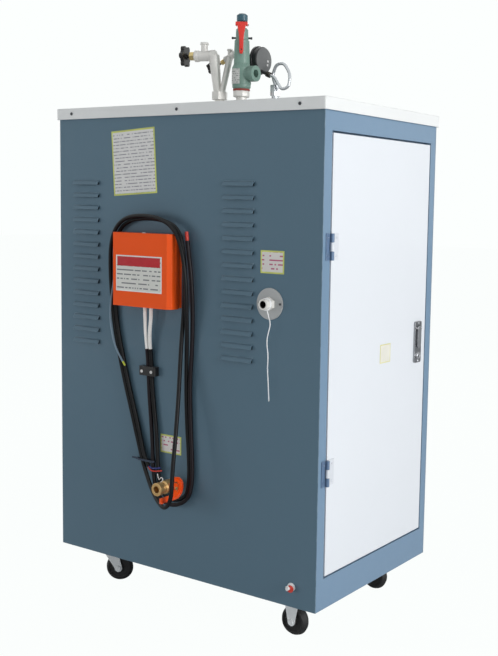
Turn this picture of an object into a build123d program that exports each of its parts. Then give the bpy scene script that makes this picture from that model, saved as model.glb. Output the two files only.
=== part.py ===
from build123d import *
import os
from math import cos, radians, sin, tan

# Cabinet steam boiler on four casters: a folded sheet housing with a door on its narrow side,
# a hot-water drum inside, the steam fittings on top and the water and power connections in front.
# The floor is Z = 0. The wide louvred side faces -Y and the door faces +X.

# Housing
body_length = 900.0
body_depth = 565.0
body_height = 1230.0
sheet = 2.0
lid_height = 30.0
lid_overhang = 6.5
lid_corner_radius = 5.0
pan_rim = 28.0
pan_thickness = 3.0

# Door and its frame
door_near_edge = 39.0
door_far_edge = 531.0
door_bottom = 84.0
door_top = 1178.0
door_thickness = 18.0
door_gap = 5.0
door_lip = 14.0
frame_return = 26.0
stop_lip = 15.0

# Hinges of the door
hinge_heights = (348.0, 906.0)
hinge_length = 65.0
hinge_leaf = 2.0
hinge_pin_radius = 2.5
hinge_barrel_radius = 5.0
hinge_pin_stand = 6.0
hinge_pin_inset = 34.0
hinge_leaf_reach = 34.0
frame_leaf_reach = 20.0
pin_clearance = 0.2
knuckle_gap = 0.6

# Lock of the door
lock_height = 631.0
lock_inset = 485.0
lock_length = 116.0
lock_width = 37.0
lock_plate = 5.0
lock_well = 3.0
lock_lever_length = 62.0
lock_lever_width = 17.0
lock_lever_thickness = 4.0
lock_lever_rise = 14.0
lock_pin_from_end = 5.0
lock_pin_radius = 1.2
lock_ear = 3.0
lock_button_radius = 10.0
lock_reach = 11.0

# Louvres, as rows of pressed hoods that open downwards
louvre_rows = 14
louvre_pitch = 34.1
louvre_top = 1049.0
louvre_length = 98.0
louvre_slot = 8.0
louvre_rise = 13.0
louvre_stand = 9.0
louvre_wall = 1.6
louvre_near_inset = 254.0
louvre_far_inset = 107.0

# Casters
wheel_radius = 40.0
wheel_width = 27.0
wheel_hub_radius = 14.0
wheel_hub_width = 33.0
tyre_round = 7.0
caster_height = 110.0
caster_inset_x = 115.0
caster_inset_y = 80.0
caster_plate_length = 92.0
caster_plate_width = 66.0
caster_plate = 3.0
caster_race_radius = 23.0
caster_race = 4.0
crown_thickness = 5.0
kingpin_radius = 6.0
kingpin_head_radius = 10.0
kingpin_head = 4.0
caster_trail = 28.0
fork_gap = 34.0
fork_sheet = 2.5
fork_top_width = 48.0
fork_foot_radius = 11.0
axle_radius = 4.0
axle_head_radius = 7.0
axle_head = 4.0
swivel_turns = (30.0, -35.0)
running_gap = 0.3

# Drum inside, stood on a ring on the pan
drum_radius = 215.0
drum_wall = 6.0
drum_foot = 130.0
drum_shell_height = 900.0
drum_head_rise = 62.0
drum_ring_radius = 170.0
drum_ring_wall = 5.0
socket_radius = 24.0
socket_height = 36.0

# Places of the top fittings, from the door side and from the louvred side
fittings_inset = 282.5
safety_inset = 473.0
branch_step = 79.0
gauge_step = 70.0
gauge_back = 65.0
lid_hole_clearance = 5.0

# Safety valve, from its foot up
safety_pipe_radius = 15.0
safety_foot = 1326.0
safety_flange_radius = 20.0
safety_flange = 6.0
safety_body_radius = 27.0
safety_body_top = 1395.0
safety_skirt_radius = 22.5
safety_shoulder = 1463.0
safety_neck_radius = 17.0
safety_bonnet_top = 1494.0
safety_spindle_radius = 6.0
safety_cap_bottom = 1512.0
safety_cap_radius = 15.5
safety_cap_top = 1533.0
safety_outlet_height = 1367.0
safety_outlet_radius = 22.0
safety_outlet_bore = 11.0
safety_outlet_reach = 51.0
safety_outlet_depth = 30.0
safety_pin_height = 1503.0
safety_pin_radius = 3.0
lever_bearing = -56.0
lever_stand = 26.5
lever_sheet = 3.0
lever_width = 34.0
lever_strip = 11.0
lever_foot = 1421.0
lever_cheek = 10.0

# Pressure gauge on its syphon loop
gauge_radius = 37.0
gauge_depth = 22.0
gauge_height = 1413.0
gauge_offset = 41.0
gauge_rim = 3.0
gauge_stem = 24.0
gauge_stem_radius = 5.0
gauge_stem_dip = 22.0
gauge_coupling = 12.0
gauge_coupling_radius = 8.0
syphon_radius = 4.5
syphon_stub_radius = 10.5
syphon_loop_width = 54.0
syphon_loop_height = 70.0
syphon_crossing = 13.5
syphon_lead = 16.0
syphon_foot = 1311.0
syphon_nut_top = 1341.0
syphon_nut_flats = 26.0

# Pair of steam valves on one branched fitting
branch_foot = 1300.0
branch_nut_flats = 40.0
branch_nut = 22.0
branch_stub_radius = 14.0
left_leg_foot = 7.0
left_leg_radii = (11.0, 16.0)
left_valve_overhang = 30.0
left_leg_shift = -22.0
left_valve_height = 1425.0
left_valve_bearing = 196.0
left_wheel_radius = 31.0
left_stem_length = 20.0
right_leg_foot = 8.0
right_leg_radii = (8.0, 9.5)
right_valve_shift = 14.0
right_valve_back = 27.0
right_valve_height = 1422.0
right_valve_bearing = 178.0
right_valve_dip = 25.0
right_valve_size = 0.62
right_wheel_radius = 23.0
right_stem_length = 40.0
valve_body_radius = 16.5
valve_body_back = 36.0
valve_body_front = 30.0
valve_stub_radius = 10.0
valve_stub_bore = 6.5
valve_stub_rise = 37.0
valve_bonnet_flats = 22.0
valve_bonnet = 14.0
valve_stem_radius = 4.5
wheel_disc = 11.0
wheel_lobes = 6
wheel_lobe_radius = 8.0
wheel_boss_radius = 9.0

# Water inlet on the wide side
inlet_inset = 152.0
inlet_height = 760.0
inlet_disc_radius = 39.5
inlet_disc = 3.0
inlet_nut_flats = 30.0
inlet_nut = 11.0
inlet_pipe_radius = 13.5
inlet_bore = 9.5
inlet_reach = 31.0
inlet_tail = 60.0

# Drain valve on the wide side
drain_inset = 452.0
drain_height = 255.0
drain_pipe_radius = 10.5
drain_bore = 9.5
drain_bore_depth = 26.0
drain_nose_radius = 17.5
drain_nose = 13.0
drain_neck_radius = 13.0
drain_body_radius = 18.0
drain_body_start = 24.0
drain_body_end = 60.0
drain_reach = 84.0
drain_tail = 60.0
drain_stem_at = 42.0
drain_stem_radius = 4.5
drain_stem_reach = 34.0
drain_hub_radius = 11.0
drain_lever_sheet = 3.0
drain_lever_rim = 7.0
drain_lever_stand = 24.0
drain_lever_sweep = 30.0
drain_lever_width = 14.0
drain_lever_length = 56.0

# Earth stud
earth_inset = 73.0
earth_height = 52.0
earth_stud_radius = 4.0
earth_washer_radius = 11.0
earth_washer = 2.0
earth_nut_flats = 13.0
earth_nut = 6.5
earth_reach = 20.0

# Terminal box for the supply cables
box_near = 440.0
box_width = 212.0
box_bottom = 727.0
box_height = 196.0
box_depth = 50.0
box_chamfer = 10.0
box_back = 22.0
box_lap = 8.0
box_wall = 2.0
sleeve_insets = (528.0, 550.0)
sleeve_stand = 24.0
sleeve_hole_clearance = 2.0

# Supply cables and loose wires
cable_radius = 5.5
sleeve_radius = 4.75
core_radius = 1.9
stripped_core_radius = 4.7
stripped_core_length = 23.0
earth_wire_radius = 2.6
earth_tip_length = 13.0
string_radius = 1.2

# Saddle clamp that holds the supply cables below the box
clamp_inset = 551.0
clamp_height = 551.0
clamp_length = 58.0
clamp_width = 25.0
clamp_rise = 17.0
clamp_cable_insets = (541.2, 552.9)
clamp_cable_stand = 7.2
clamp_clearance = 0.4

# Tie round three strands of the supply cables
tie_height = 305.5
tie_width = 5.0
tie_band = 1.3
tie_insets = (523.5, 582.5)
tie_stand = 12.5
tie_depth = 15.2
tie_head = 7.0
tie_tail = 17.0

# Places that follow from the sizes above. The origin is on the floor, below the middle
# of the whole object, so the housing stands a little off it.
centre_x = (lid_overhang - lock_reach) / 2
centre_y = (drain_reach - lid_overhang) / 2
end_x = centre_x - body_length / 2
door_x = centre_x + body_length / 2
front_y = centre_y - body_depth / 2
back_y = centre_y + body_depth / 2
base_z = caster_height
top_z = base_z + body_height
panel_top = top_z + lid_height - sheet
fittings_y = front_y + fittings_inset
gauge_y = fittings_y + gauge_back
branch_inset = safety_inset + branch_step
gauge_inset = safety_inset - gauge_step

UPRIGHT = (Align.CENTER, Align.CENTER, Align.MIN)
UP = (0, 0, 1)
OUT = (0, -1, 0)

pieces = {}


def block(x0, x1, y0, y1, z0, z1):
    """A plain block between two corners."""
    middle = Pos((x0 + x1) / 2, (y0 + y1) / 2, (z0 + z1) / 2)
    return middle * Box(x1 - x0, y1 - y0, z1 - z0)


def rod(start, axis, radius, length):
    """A round bar that leaves start along axis."""
    return Plane(origin=start, z_dir=axis) * Cylinder(radius, length, align=UPRIGHT)


def hexagon(start, axis, flats, length):
    """A hexagon nut blank that leaves start along axis."""
    outline = RegularPolygon(flats / 2, 6, major_radius=False)
    return Plane(origin=start, z_dir=axis) * extrude(outline, length)


def turned(start, axis, outline):
    """A turned piece: outline lists its radii and heights from the axis out and back."""
    face = Plane.XZ * make_face(Polyline(*outline, close=True))
    return Plane(origin=start, z_dir=axis) * revolve(face, Axis.Z)


def from_door(inset):
    """The X of a place that lies inset from the door side."""
    return door_x - inset


def above(height):
    """The Z of a place that lies height above the bottom edge of the housing."""
    return base_z + height


def bearing(angle, dip=0.0):
    """A unit direction: angle from +X towards +Y, and dip below the horizontal."""
    flat = cos(radians(dip))
    return Vector(flat * cos(radians(angle)), flat * sin(radians(angle)), -sin(radians(dip)))


def bend_radii(points):
    """The radius of each bend of a route, as large as its two runs allow."""
    radii = []
    for before, here, after in zip(points, points[1:], points[2:]):
        shorter = min((here - before).length, (after - here).length)
        turn = radians((here - before).get_angle(after - here))
        radii.append(0.45 * shorter / tan(turn / 2))
    return radii


def bent_tube(points, radius):
    """A tube of straight runs joined by bends."""
    path = FilletPolyline(*points, radius=bend_radii(points))
    return sweep(Plane(origin=path @ 0, z_dir=path % 0) * Circle(radius), path=path)


# Bottom pan: a folded tray that the panels stand around
def bottom_pan():
    x0, x1 = end_x + sheet, door_x - sheet
    y0, y1 = front_y + sheet, back_y - sheet
    tray = block(x0, x1, y0, y1, base_z, base_z + pan_rim)
    well = block(x0 + sheet, x1 - sheet, y0 + sheet, y1 - sheet,
                 base_z + pan_thickness, base_z + pan_rim)
    return tray - well


# Wide panels: one sheet each, with pressed louvres in two columns
def louvre_outline():
    """Side view of a hood, as distance from the panel and height above the slot."""
    knee = (louvre_stand * 0.55, louvre_rise * 0.72)
    wall = louvre_wall
    shell = Polyline((0, louvre_rise), knee, (louvre_stand, 0), (louvre_stand - wall, 0),
                     (knee[0] - 0.75 * wall, knee[1] - 0.9 * wall), (0, louvre_rise - 1.5 * wall),
                     close=True)
    return make_face(shell)


def wide_panel(inner_y, outer_y, holes):
    """A wide panel with its louvres and round holes, given as (x, z, radius)."""
    low, high = min(inner_y, outer_y), max(inner_y, outer_y)
    side = -1 if outer_y < inner_y else 1
    half = louvre_length / 2
    hoods = []
    cuts = []
    for inset in (louvre_near_inset, body_length - louvre_far_inset):
        x = from_door(inset)
        for row in range(louvre_rows):
            z = above(louvre_top - row * louvre_pitch)
            cuts.append(block(x - half + louvre_wall, x + half - louvre_wall, low - 1, high + 1,
                              z, z + louvre_slot))
            side_view = Plane(origin=(x, outer_y, z), x_dir=(0, side, 0), z_dir=(side, 0, 0))
            hoods.append(extrude(side_view * louvre_outline(), half, both=True))
    for x, z, radius in holes:
        cuts.append(rod((x, low - 1, z), (0, 1, 0), radius, sheet + 2))
    panel = block(end_x, door_x, low, high, base_z, panel_top) - cuts
    return panel + hoods


inlet_x = from_door(inlet_inset)
inlet_z = above(inlet_height)
drain_x = from_door(drain_inset)
drain_z = above(drain_height)
earth_x = from_door(earth_inset)
earth_z = above(earth_height)

front_holes = [
    (inlet_x, inlet_z, inlet_pipe_radius + 1),
    (drain_x, drain_z, drain_pipe_radius + 1),
    (earth_x, earth_z, earth_stud_radius + 0.5),
]
pieces["bottom_pan"] = bottom_pan()
pieces["front_panel"] = wide_panel(front_y + sheet, front_y, front_holes)
pieces["rear_panel"] = wide_panel(back_y - sheet, back_y, [])
pieces["end_panel"] = block(end_x, end_x + sheet, front_y + sheet, back_y - sheet,
                            base_z, panel_top)

# Door opening in the narrow side
door_y0 = front_y + door_near_edge
door_y1 = front_y + door_far_edge
door_z0 = above(door_bottom)
door_z1 = above(door_top)


def opening_block(x0, x1, grow):
    """The door's outline, grown on all four sides, between two X planes."""
    return block(x0, x1, door_y0 - grow, door_y1 + grow, door_z0 - grow, door_z1 + grow)


def door_frame():
    face = block(door_x - sheet, door_x, front_y + sheet, back_y - sheet, base_z, panel_top)
    face -= opening_block(door_x - sheet - 1, door_x + 1, door_gap)
    jambs = opening_block(door_x - frame_return, door_x, door_gap + sheet)
    jambs -= opening_block(door_x - frame_return + sheet, door_x + 1, door_gap)
    jambs -= opening_block(door_x - frame_return - 1, door_x, door_gap - stop_lip)
    return face + jambs


def door_panel():
    shell = opening_block(door_x - door_thickness, door_x, 0)
    shell -= opening_block(door_x - door_thickness + sheet, door_x - sheet, -sheet)
    return shell - opening_block(door_x - door_thickness - 1, door_x - sheet, -door_lip)


pieces["door_frame"] = door_frame()
pieces["door"] = door_panel()

# Hinges: three knuckles on one pin, the outer two on the frame and the middle one on the door
pin_x = door_x + hinge_pin_stand
pin_y = front_y + hinge_pin_inset
knuckle = hinge_length / 3


def frame_hinges():
    leaves = Part()
    for height in hinge_heights:
        z0 = above(height) - hinge_length / 2
        z1 = z0 + hinge_length
        leaf = block(door_x, door_x + hinge_leaf, pin_y - frame_leaf_reach,
                     pin_y - hinge_barrel_radius - 1, z0, z1)
        for low in (z0, z1 - knuckle + knuckle_gap):
            high = low + knuckle - knuckle_gap
            leaf += block(door_x, door_x + hinge_leaf, pin_y - frame_leaf_reach, pin_y, low, high)
            leaf += rod((pin_x, pin_y, low), UP, hinge_barrel_radius, high - low)
        leaf += rod((pin_x, pin_y, z0), UP, hinge_pin_radius, hinge_length)
        leaves += leaf
    return leaves


def door_hinges():
    leaves = Part()
    for height in hinge_heights:
        z0 = above(height) - hinge_length / 2
        z1 = z0 + hinge_length
        low = z0 + knuckle + knuckle_gap / 2
        high = z1 - knuckle - knuckle_gap / 2
        leaf = block(door_x, door_x + hinge_leaf, pin_y + hinge_barrel_radius + 1,
                     pin_y + hinge_leaf_reach, z0, z1)
        leaf += block(door_x + running_gap, door_x + hinge_leaf, pin_y,
                      pin_y + hinge_barrel_radius + 1, low, high)
        leaf += rod((pin_x, pin_y, low), UP, hinge_barrel_radius, high - low)
        leaf -= rod((pin_x, pin_y, low - 1), UP, hinge_pin_radius + pin_clearance, high - low + 2)
        leaves += leaf
    return leaves


pieces["frame_hinges"] = frame_hinges()
pieces["door_hinges"] = door_hinges()

# Lock: a plate with a well, a push button below and a lever that swings out of the well
lock_y = front_y + lock_inset
lock_z = above(lock_height)
lock_pivot_z = lock_z + lock_lever_length / 2 + lock_lever_rise - lock_pin_from_end
lock_pivot_x = door_x + lock_plate + running_gap + lock_lever_thickness / 2
lock_ear_gap = lock_lever_width + 1.0


def lock_plate_piece():
    outline = RectangleRounded(lock_width, lock_length, 6)
    face = Plane(origin=(door_x, lock_y, lock_z), x_dir=(0, 1, 0), z_dir=(1, 0, 0))
    plate = extrude(face * outline, lock_plate)
    well_face = Plane(origin=(door_x + lock_plate, lock_y, lock_z + lock_lever_rise),
                      x_dir=(0, 1, 0), z_dir=(-1, 0, 0))
    well = RectangleRounded(lock_lever_width + 7, lock_lever_length + 4, 5)
    plate -= extrude(well_face * well, lock_well)
    button_z = lock_z - lock_length / 2 + lock_width / 2 + 1
    plate += rod((door_x + lock_plate, lock_y, button_z), (1, 0, 0), lock_button_radius, 3)
    for side in (-1, 1):
        y = lock_y + side * (lock_ear_gap + lock_ear) / 2
        plate += block(door_x + lock_plate - lock_well, lock_pivot_x + 2.5, y - lock_ear / 2,
                       y + lock_ear / 2, lock_pivot_z - 3, lock_pivot_z + 3)
    plate += rod((lock_pivot_x, lock_y - lock_ear_gap / 2 - lock_ear, lock_pivot_z), (0, 1, 0),
                 lock_pin_radius, lock_ear_gap + 2 * lock_ear)
    return plate


def lock_lever_piece():
    face = Plane(origin=(door_x + lock_plate + running_gap, lock_y, lock_z + lock_lever_rise),
                 x_dir=(0, 0, 1), z_dir=(1, 0, 0))
    lever = extrude(face * SlotOverall(lock_lever_length, lock_lever_width), lock_lever_thickness)
    bore = rod((lock_pivot_x, lock_y - lock_lever_width, lock_pivot_z), (0, 1, 0),
               lock_pin_radius + pin_clearance, 2 * lock_lever_width)
    return lever - bore


pieces["lock_plate"] = lock_plate_piece()
pieces["lock_lever"] = lock_lever_piece()


# Lid: a shallow tray turned over, with a hole for each fitting
def lid():
    outer = block(end_x - lid_overhang, door_x + lid_overhang, front_y - lid_overhang,
                  back_y + lid_overhang, top_z, top_z + lid_height)
    outer = fillet(outer.edges().filter_by(Axis.Z), lid_corner_radius)
    tray = outer - block(end_x - lid_overhang + sheet, door_x + lid_overhang - sheet,
                         front_y - lid_overhang + sheet, back_y + lid_overhang - sheet,
                         top_z, top_z + lid_height - sheet)
    for inset, y, radius in ((branch_inset, fittings_y, branch_stub_radius),
                             (safety_inset, fittings_y, safety_pipe_radius),
                             (gauge_inset, gauge_y, syphon_stub_radius)):
        tray -= rod((from_door(inset), y, top_z), UP, radius + lid_hole_clearance, 2 * lid_height)
    return tray


pieces["lid"] = lid()


# Casters
def wheel_outline():
    r = wheel_radius
    half = wheel_width / 2
    hub = wheel_hub_width / 2
    bore = axle_radius + pin_clearance
    return [(bore, -hub), (wheel_hub_radius, -hub), (wheel_hub_radius, -half + 3),
            (r - 12, -half + 3), (r - 12, -half), (r - tyre_round, -half), (r - 2, -half + tyre_round),
            (r, 0), (r - 2, half - tyre_round), (r - tyre_round, half), (r - 12, half),
            (r - 12, half - 3), (wheel_hub_radius, half - 3), (wheel_hub_radius, hub), (bore, hub)]


def fork_leg(top, lean):
    """One side plate of a fork, drawn in its own X and Z, leaning back by lean at the axle."""
    half = fork_top_width / 2
    foot = Pos(lean, wheel_radius) * Circle(fork_foot_radius)
    web = make_face(Polyline((-half, top), (half, top), (lean + fork_foot_radius, wheel_radius),
                             (lean - fork_foot_radius, wheel_radius), close=True))
    return web + foot


def fork(top, lean):
    """Two legs with the axle bolt between them, about the origin, with the axle along Y."""
    legs = Part()
    for inner_y, outward in ((-fork_gap / 2, -1), (fork_gap / 2, 1)):
        side_view = Plane(origin=(0, inner_y, 0), x_dir=(1, 0, 0), z_dir=(0, -1, 0))
        legs += extrude(side_view * fork_leg(top, lean), -outward * fork_sheet)
    reach = fork_gap / 2 + fork_sheet
    axle = rod((lean, -reach, wheel_radius), (0, 1, 0), axle_radius, 2 * reach)
    near_head = hexagon((lean, -reach, wheel_radius), (0, -1, 0), 2 * axle_head_radius, axle_head)
    far_head = hexagon((lean, reach, wheel_radius), (0, 1, 0), 2 * axle_head_radius, axle_head)
    return legs + axle + near_head + far_head


crown_top = caster_height - caster_plate - caster_race - running_gap


def swivel_fork():
    width = fork_gap + 2 * fork_sheet
    crown = block(-fork_top_width / 2, fork_top_width / 2, -width / 2, width / 2,
                  crown_top - crown_thickness, crown_top)
    body = crown + fork(crown_top, caster_trail)
    return body - rod((0, 0, 0), UP, kingpin_radius + pin_clearance, caster_height)


def swivel_plate():
    plate = block(-caster_plate_length / 2, caster_plate_length / 2, -caster_plate_width / 2,
                  caster_plate_width / 2, caster_height - caster_plate, caster_height)
    race = rod((0, 0, crown_top + running_gap), UP, caster_race_radius, caster_race)
    pin_foot = crown_top - crown_thickness - running_gap - kingpin_head
    pin = rod((0, 0, pin_foot), UP, kingpin_radius, caster_height - caster_plate - pin_foot)
    head = rod((0, 0, pin_foot), UP, kingpin_head_radius, kingpin_head)
    return plate + race + pin + head


def fixed_bracket():
    plate = block(-caster_plate_length / 2, caster_plate_length / 2, -caster_plate_width / 2,
                  caster_plate_width / 2, caster_height - caster_plate, caster_height)
    return plate + fork(caster_height - caster_plate, 0)


caster_y = {"front": front_y + caster_inset_y, "rear": back_y - caster_inset_y}
wheel = turned((0, 0, 0), UP, wheel_outline())
for name, turn in zip(caster_y, swivel_turns):
    at_fixed = Pos(door_x - caster_inset_x, caster_y[name], 0)
    at_swivel = Pos(end_x + caster_inset_x, caster_y[name], 0)
    wheel_place = Pos(0, 0, wheel_radius) * Rot(90, 0, 0)
    pieces[f"fixed_caster_{name}"] = at_fixed * fixed_bracket()
    pieces[f"fixed_wheel_{name}"] = at_fixed * wheel_place * wheel
    pieces[f"swivel_plate_{name}"] = at_swivel * swivel_plate()
    pieces[f"swivel_fork_{name}"] = at_swivel * Rot(0, 0, turn) * swivel_fork()
    swivel_wheel = Pos(caster_trail, 0, 0) * wheel_place * wheel
    pieces[f"swivel_wheel_{name}"] = at_swivel * Rot(0, 0, turn) * swivel_wheel

# Drum: a shell with dished heads, stood on a ring on the pan
drum_x = centre_x
drum_y = fittings_y
shell_z0 = above(drum_foot)
shell_z1 = shell_z0 + drum_shell_height
dish_radius = (drum_radius ** 2 + drum_head_rise ** 2) / (2 * drum_head_rise)
socket_z = shell_z1 + drum_head_rise + socket_height


def dished_head(rim_z, direction):
    """A shallow solid dome on a drum's end, rising along direction."""
    arc = ThreePointArc((drum_radius, 0), (drum_radius / 2, dish_height(drum_radius / 2)),
                        (0, drum_head_rise))
    outline = Plane.XZ * make_face(Polyline((0, drum_head_rise), (0, 0), (drum_radius, 0)) + arc)
    return Plane(origin=(drum_x, drum_y, rim_z), z_dir=(0, 0, direction)) * revolve(outline, Axis.Z)


def dish_height(radius):
    """Height of the dome above its rim, at a distance from its middle."""
    return (dish_radius ** 2 - radius ** 2) ** 0.5 - dish_radius + drum_head_rise


def drum_top():
    head = dished_head(shell_z1, 1)
    for inset, y in ((branch_inset, fittings_y), (safety_inset, fittings_y), (gauge_inset, gauge_y)):
        head += rod((from_door(inset), y, shell_z1), UP, socket_radius, socket_z - shell_z1)
    return head


def drum_ring():
    ring = rod((drum_x, drum_y, base_z + pan_thickness), UP, drum_ring_radius,
               drum_foot - pan_thickness)
    ring -= rod((drum_x, drum_y, base_z), UP, drum_ring_radius - drum_ring_wall, drum_foot)
    ball = Pos(drum_x, drum_y, shell_z0 + dish_radius - drum_head_rise) * Sphere(dish_radius + running_gap)
    return ring - ball


pieces["drum_ring"] = drum_ring()
pieces["drum_bottom_head"] = dished_head(shell_z0, -1)
pieces["drum_shell"] = (rod((drum_x, drum_y, shell_z0), UP, drum_radius, drum_shell_height)
                        - rod((drum_x, drum_y, shell_z0), UP, drum_radius - drum_wall, drum_shell_height))
pieces["drum_top_head"] = drum_top()

# Safety valve
safety_x = from_door(safety_inset)
outlet_z = above(safety_outlet_height)


def safety_body():
    foot = above(safety_foot)
    height = safety_body_top - safety_foot
    r = safety_body_radius
    body = turned((safety_x, fittings_y, foot), UP,
                  [(0, 0), (r - 5, 0), (r - 1, 5), (r - 1, 12), (r, 16), (r, height - 10),
                   (r - 3, height - 4), (safety_skirt_radius, height), (0, height)])
    body += rod((safety_x, fittings_y, outlet_z), (1, 0, 0), safety_outlet_radius - 3,
                safety_outlet_reach)
    body += rod((safety_x + safety_outlet_reach - 14, fittings_y, outlet_z), (1, 0, 0),
                safety_outlet_radius, 14)
    body -= rod((safety_x + safety_outlet_reach - safety_outlet_depth, fittings_y, outlet_z),
                (1, 0, 0), safety_outlet_bore, safety_outlet_depth)
    return body


def safety_bonnet():
    height = safety_shoulder - safety_body_top
    rise = safety_bonnet_top - safety_body_top
    spindle_top = safety_cap_bottom - safety_body_top
    side = bearing(lever_bearing + 90)
    bonnet = turned((safety_x, fittings_y, above(safety_body_top)), UP,
                    [(0, 0), (safety_skirt_radius, 0), (safety_skirt_radius - 1.5, height - 4),
                     (safety_neck_radius + 1, height), (safety_neck_radius, rise - 4),
                     (safety_neck_radius - 4, rise), (safety_spindle_radius, rise),
                     (safety_spindle_radius, spindle_top), (0, spindle_top)])
    half = lever_width / 2 + 1.5
    start = Vector(safety_x, fittings_y, above(safety_pin_height)) - side * half
    return bonnet + rod(start, side, safety_pin_radius, 2 * half)


def safety_cap():
    height = safety_cap_top - safety_cap_bottom
    r = safety_cap_radius
    return turned((safety_x, fittings_y, above(safety_cap_bottom)), UP,
                  [(0, 0), (r - 1, 0), (r, 2), (r, height - 4), (r - 5, height), (0, height)])


def safety_lever():
    """A fork about the spindle that hangs as a strip in front of the bonnet."""
    pin_z = safety_pin_height
    front = lever_stand
    plate = block(front - lever_sheet, front, -lever_width / 2, lever_width / 2,
                  pin_z - 22, pin_z + lever_cheek / 2)
    plate += block(front - lever_sheet, front, -lever_strip / 2, lever_strip / 2, lever_foot, pin_z)
    for side in (-1, 1):
        y = side * (lever_width - lever_sheet) / 2
        plate += block(0, front, y - lever_sheet / 2, y + lever_sheet / 2,
                       pin_z - lever_cheek / 2, pin_z + lever_cheek / 2)
        plate += rod((0, y - lever_sheet / 2, pin_z), (0, 1, 0), lever_cheek / 2, lever_sheet)
    plate -= rod((0, -lever_width, pin_z), (0, 1, 0), safety_pin_radius + pin_clearance, 2 * lever_width)
    return Pos(safety_x, fittings_y, base_z) * Rot(0, 0, lever_bearing) * plate


def safety_pipe():
    top = above(safety_foot)
    pipe = rod((safety_x, fittings_y, socket_z), UP, safety_pipe_radius, top - socket_z)
    return pipe + rod((safety_x, fittings_y, top - safety_flange), UP, safety_flange_radius, safety_flange)


pieces["safety_valve_pipe"] = safety_pipe()
pieces["safety_valve_body"] = safety_body()
pieces["safety_valve_bonnet"] = safety_bonnet()
pieces["safety_valve_cap"] = safety_cap()
pieces["safety_valve_lever"] = safety_lever()

# Pressure gauge on a syphon loop
gauge_foot_x = from_door(gauge_inset)
gauge_x = gauge_foot_x - gauge_offset
gauge_z = above(gauge_height)


def syphon():
    """The pipe loop below the gauge: up, over, round and back across itself to the gauge."""
    x, y, z = gauge_foot_x, gauge_y, above(syphon_nut_top)
    stub = rod((x, y, socket_z), UP, syphon_stub_radius, above(syphon_foot) - socket_z)
    nut = hexagon((x, y, above(syphon_foot)), UP, syphon_nut_flats, syphon_nut_top - syphon_foot)
    w = syphon_loop_width
    h = syphon_loop_height
    apart = syphon_crossing
    route = [Vector(x, y, z), Vector(x - 0.2 * w, y, z + 0.38 * h),
             Vector(x + 0.05 * w, y, z + 0.83 * h), Vector(x + 0.55 * w, y, z + 0.86 * h),
             Vector(x + 0.96 * w, y, z + 0.4 * h), Vector(x + 0.96 * w, y - 0.5 * apart, z - 0.1 * h),
             Vector(x + 0.6 * w, y - apart, z - 0.22 * h),
             gauge_coupling_end() + bearing(0, gauge_stem_dip) * syphon_lead, gauge_coupling_end()]
    return stub + nut + bent_tube(route, syphon_radius)


def gauge_stem_start():
    return Vector(gauge_x - 1, gauge_y - syphon_crossing, gauge_z - gauge_radius * 0.86)


def gauge_coupling_end():
    return gauge_stem_start() + bearing(0, gauge_stem_dip) * (gauge_stem + gauge_coupling)


def gauge():
    r = gauge_radius
    case = turned((gauge_x, gauge_y, gauge_z), (-1, 0, 0),
                  [(0, 0), (r - 2, 0), (r, 2), (r, gauge_depth - 6), (r + gauge_rim, gauge_depth - 6),
                   (r + gauge_rim, gauge_depth), (r - 2, gauge_depth), (r - 2, gauge_depth - 3),
                   (0, gauge_depth - 3)])
    stem = rod(gauge_stem_start(), bearing(0, gauge_stem_dip), gauge_stem_radius, gauge_stem)
    return case + stem


def gauge_coupling_nut():
    start = gauge_stem_start() + bearing(0, gauge_stem_dip) * gauge_stem
    return rod(start, bearing(0, gauge_stem_dip), gauge_coupling_radius, gauge_coupling)


pieces["gauge_syphon"] = syphon()
pieces["pressure_gauge"] = gauge()
pieces["gauge_coupling"] = gauge_coupling_nut()

# Steam valves on their branched fitting: each valve lies across the top of its leg
branch_x = from_door(branch_inset)
branch_top = above(branch_foot + branch_nut)
left_axis = bearing(left_valve_bearing)
right_axis = bearing(right_valve_bearing, right_valve_dip)
left_leg_head = Vector(branch_x + left_leg_shift, fittings_y, above(left_valve_height))
left_valve = left_leg_head + left_axis * left_valve_overhang
right_valve = Vector(branch_x + right_valve_shift, fittings_y + right_valve_back,
                     above(right_valve_height))


def leg(foot, head, radii):
    """A tapered leg between two points."""
    cone = Cone(radii[0], radii[1], (head - foot).length, align=UPRIGHT)
    return Plane(origin=foot, z_dir=head - foot) * cone


def valve_body(middle, axis, size):
    """A round valve body with raised ends, and a stub that points up."""
    r = valve_body_radius * size
    back = valve_body_back * size
    length = back + valve_body_front * size
    body = turned(middle - axis * back, axis,
                  [(0, 0), (r * 0.8, 0), (r, 3 * size), (r, 14 * size), (r * 0.9, 17 * size),
                   (r * 0.9, length - 15 * size), (r, length - 12 * size), (r, length - 3 * size),
                   (r * 0.8, length), (0, length)])
    rise = valve_stub_rise * size
    stub = rod(middle, UP, valve_stub_radius * size, rise)
    mouth = rod(middle + Vector(*UP) * rise * 0.6, UP, valve_stub_bore * size, rise)
    return body + stub - mouth


def steam_branch():
    foot = rod((branch_x, fittings_y, socket_z), UP, branch_stub_radius, above(branch_foot) - socket_z)
    foot += hexagon((branch_x, fittings_y, above(branch_foot)), UP, branch_nut_flats, branch_nut)
    left_foot = Vector(branch_x - left_leg_foot, fittings_y, branch_top - 6)
    right_foot = Vector(branch_x + right_leg_foot, fittings_y, branch_top - 6)
    foot += leg(left_foot, left_leg_head, left_leg_radii)
    foot += leg(right_foot, right_valve, right_leg_radii)
    foot += valve_body(left_valve, left_axis, 1.0)
    return foot + valve_body(right_valve, right_axis, right_valve_size)


def valve_bonnet_piece(middle, axis, size):
    """The brass nut that the stem passes through."""
    start = middle + axis * valve_body_front * size
    nut = hexagon(start, axis, valve_bonnet_flats * size, valve_bonnet)
    return nut - rod(start, axis, valve_stem_radius * size + pin_clearance, valve_bonnet + 1)


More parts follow.
